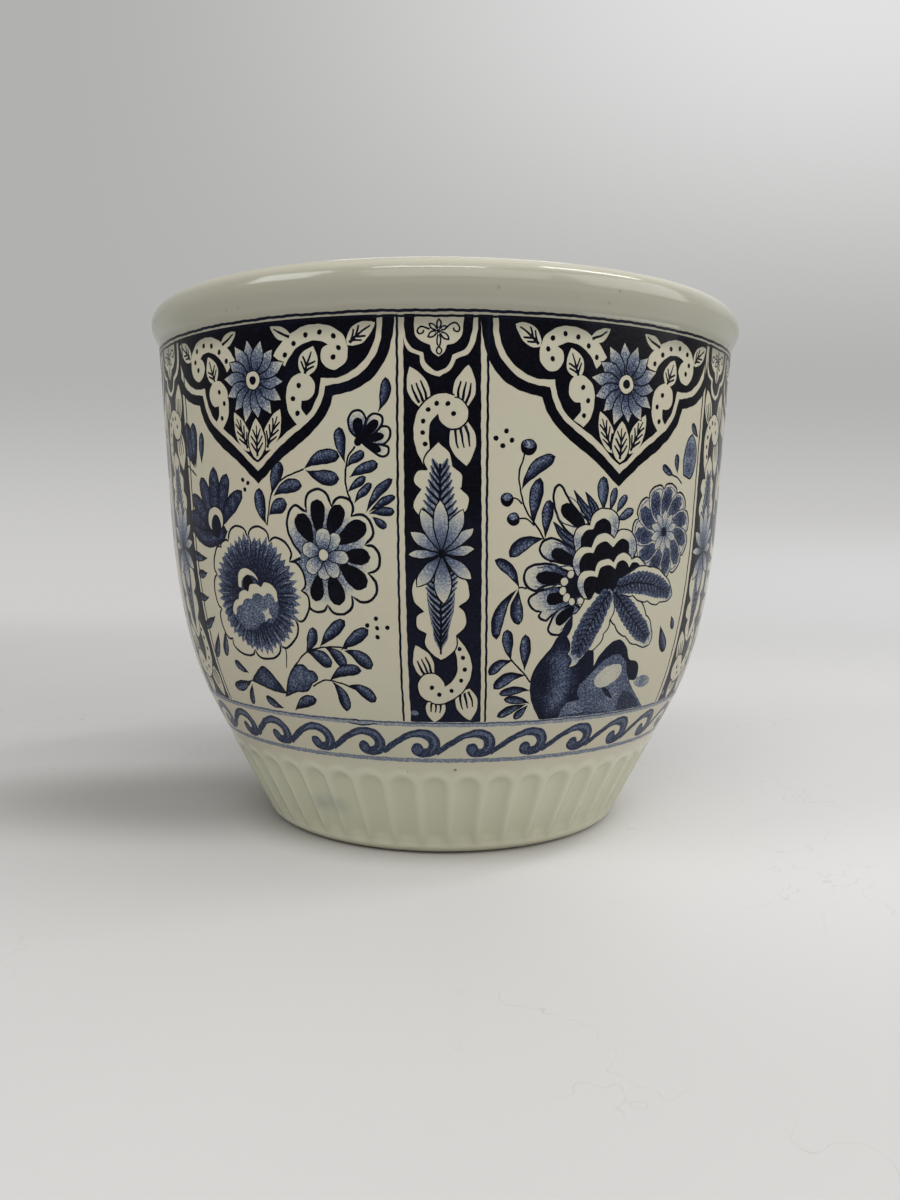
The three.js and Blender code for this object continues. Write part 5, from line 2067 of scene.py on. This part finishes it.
def table_colour(board, place, stage):
    """Colour of the table: faint clouds, painted light on its right side, the pot's painted shadow and a few
    hair scratches.
    """
    x, y, _ = board.parts(place)
    clouds = board.step(board.noise(place, 0.004, 2.0), 0.3, 0.7)
    # Painted light on the table to the right of the pot.
    painted_light_right = board.step(x, 0.0, 75.0) * board.step(y, -200.0, -40.0)
    # Painted shadow round the foot and to the left of the pot.
    round_foot = board.fall(distance_from_axis(board, place), 56.0, 78.0)
    foot_shade = round_foot * (1.0 - board.step(x, 20.0, 60.0) * 0.8)
    shade_middle = (90.0, 5.0, 0.0)
    shade_reach = (130.0, 62.0, 100.0)
    from_shade = board.vector_math("DIVIDE", board.vector_math("ADD", place, shade_middle), shade_reach)
    left_shade = board.fall(board.length(from_shade), 0.2, 1.0)
    contour = board.math("ABSOLUTE", board.noise(place, 0.03, 3.0) - 0.5)
    scratch = board.fall(contour, 0.0, 0.003) * board.step(board.noise(place, 0.012, 1.0), 0.5, 0.62)
    colour = stage.floor_colour
    for share, tint in (
        (clouds * 0.5, linear(202, 201, 199)),
        (painted_light_right * 0.85, linear(226, 225, 224)),
        (foot_shade * 0.6, linear(128, 124, 112)),
        (left_shade * 0.68, linear(140, 137, 132)),
        (scratch * 0.35, linear(176, 166, 158)),
    ):
        colour = board.mix(share, colour, tint)
    return colour


def floor_material(stage):
    """Smooth pale table top that turns into a backdrop, which shows to the camera as it is coloured: a glow
    with painted light.
    """
    material, board = new_material("pale_table")
    place = place_in_mm(board)
    x, y, z = board.parts(place)
    table = board.add("ShaderNodeBsdfPrincipled", None, {
        "Base Color": table_colour(board, place, stage),
        "Roughness": 0.6,
        "Specular IOR Level": 0.25,
    })
    # Painted light on the backdrop: paler near the table, greyer higher up, brighter high up and low down
    # towards the right.
    rising = board.mix(board.step(z, -40.0, 420.0), linear(206, 205, 204), linear(*FAR_GREY))
    painted_light_high = board.step(z, 300.0, 1250.0) * board.step(x, -900.0, 800.0)
    painted_light_low = board.step(x, -200.0, 700.0) * board.fall(z, 0.0, 120.0)
    far_off = board.step(board.length(place), 2700.0, 6500.0)
    colour = board.mix(painted_light_high, rising, linear(226, 226, 226))
    colour = board.mix(painted_light_low, colour, linear(214, 214, 214))
    colour = board.mix(far_off, colour, linear(*FAR_GREY))
    backdrop = board.add("ShaderNodeEmission", None, {"Color": colour, "Strength": 1.0})
    shown = board.camera_share("Is Glossy Ray", "Is Transmission Ray")
    share = board.math("MAXIMUM", board.step(y, 180.0, 700.0), far_off) * shown
    mixed = board.add("ShaderNodeMixShader", None, {0: share, 1: table, 2: backdrop})
    board.add("ShaderNodeOutputMaterial", None, {"Surface": mixed})
    return material


def make_sweep(stage):
    """The floor, which turns up into the backdrop behind the pot."""
    rows = [(y, 0.0) for y in np.linspace(FLOOR_FRONT, FLOOR_BACK, 17)]
    rows += arc((FLOOR_BACK, SWEEP_RADIUS), (SWEEP_RADIUS, SWEEP_RADIUS), -90, 0, 17)[1:]
    rows += [(FLOOR_BACK + SWEEP_RADIUS, z) for z in np.linspace(SWEEP_RADIUS, BACKDROP_TOP, 8)[1:]]
    columns = np.linspace(-FLOOR_HALF_WIDTH, FLOOR_HALF_WIDTH, 19)
    points = [(x, y, z) for y, z in rows for x in columns]
    count = len(columns)
    starts = [r * count + c for r in range(len(rows) - 1) for c in range(count - 1)]
    faces = [(a, a + 1, a + count + 1, a + count) for a in starts]
    mesh = bpy.data.meshes.new("sweep")
    mesh.from_pydata(points, [], faces)
    mesh.polygons.foreach_set("use_smooth", [True] * len(faces))
    mesh.materials.append(floor_material(stage))
    link_object("sweep", mesh)


def make_lamps(stage):
    """Soft lamps round the pot, and narrow ones whose reflections run along the lip."""
    window = stage.window_power
    area_lamp("overhead_softbox", (0.1, -0.1, 1.3), POT_MIDDLE, (1.3, 1.1), stage.key_power)
    area_lamp("right_softbox", (1.3, -0.4, 0.75), POT_MIDDLE, (1.3, 1.1), stage.right_power)
    area_lamp("front_softbox", (0.1, -1.15, 0.75), POT_MIDDLE, (1.5, 0.9), stage.front_power)
    area_lamp("left_softbox", (-1.15, -0.6, 1.0), POT_MIDDLE, (0.7, 0.6), stage.left_power)
    area_lamp("back_window", (0.0, 0.9, 0.93), POT_MIDDLE, (0.5, 0.05), window * 0.15)
    area_lamp("ceiling_strip", (-0.08, -0.72, 1.2), POT_MIDDLE, (0.7, 0.1), window)
    area_lamp("side_window", (0.68, 0.0, 1.2), (0.355, 0.38, 0.0), (0.62, 0.1), window * 1.15)


def make_world(stage):
    """Even light all round, which the camera sees in the backdrop's grey."""
    world = bpy.data.worlds.new("even_light")
    world.use_nodes = True
    world.node_tree.nodes.clear()
    board = Board(world.node_tree)
    even = {"Color": linear(250, 250, 250), "Strength": stage.world_strength}
    light = board.add("ShaderNodeBackground", None, even)
    seen = board.add("ShaderNodeBackground", None, {"Color": linear(*FAR_GREY), "Strength": 1.0})
    mixed = board.add("ShaderNodeMixShader", None, {0: board.camera_share(), 1: light, 2: seen})
    board.add("ShaderNodeOutputWorld", None, {"Surface": mixed})
    bpy.context.scene.world = world


class POT_OT_stage(Operator):
    """Set the floor, the lamps and the camera"""
    bl_idname = "pot.stage"
    bl_label = "Set the stage"

    def execute(self, context):
        scene = context.scene
        scene.view_settings.view_transform = "Standard"
        make_camera(scene.pot_stage)
        make_sweep(scene.pot_stage)
        make_lamps(scene.pot_stage)
        make_world(scene.pot_stage)
        return {"FINISHED"}


class POT_PT_panel(Panel):
    """Flower pot tools"""
    bl_label = "Flower pot"
    bl_idname = "POT_PT_panel"
    bl_space_type = "VIEW_3D"
    bl_region_type = "UI"
    bl_category = "Flower pot"

    def draw(self, context):
        layout = self.layout
        for operator in (POT_OT_body, POT_OT_columns, POT_OT_panels, POT_OT_border, POT_OT_rim_line,
                         POT_OT_stage):
            layout.operator(operator.bl_idname)
        for group in (context.scene.pot_shape, context.scene.pot_print, context.scene.pot_look,
                      context.scene.pot_stage):
            box = layout.box()
            for key in group.__annotations__:
                box.prop(group, key)


CLASSES = (
    PotShape, PrintLayout, PotLook, StageLook,
    POT_OT_body, POT_OT_columns, POT_OT_panels, POT_OT_border, POT_OT_rim_line, POT_OT_stage,
    POT_PT_panel,
)


def register():
    for item in CLASSES:
        bpy.utils.register_class(item)
    bpy.types.Scene.pot_shape = PointerProperty(type=PotShape)
    bpy.types.Scene.pot_print = PointerProperty(type=PrintLayout)
    bpy.types.Scene.pot_look = PointerProperty(type=PotLook)
    bpy.types.Scene.pot_stage = PointerProperty(type=StageLook)


def unregister():
    for key in ("pot_shape", "pot_print", "pot_look", "pot_stage"):
        delattr(bpy.types.Scene, key)
    for item in reversed(CLASSES):
        bpy.utils.unregister_class(item)


def main():
    register()
    bpy.ops.pot.body()
    bpy.ops.pot.columns()
    bpy.ops.pot.panels()
    bpy.ops.pot.border()
    bpy.ops.pot.rim_line()
    bpy.ops.pot.stage()


if __name__ == "__main__":
    main()
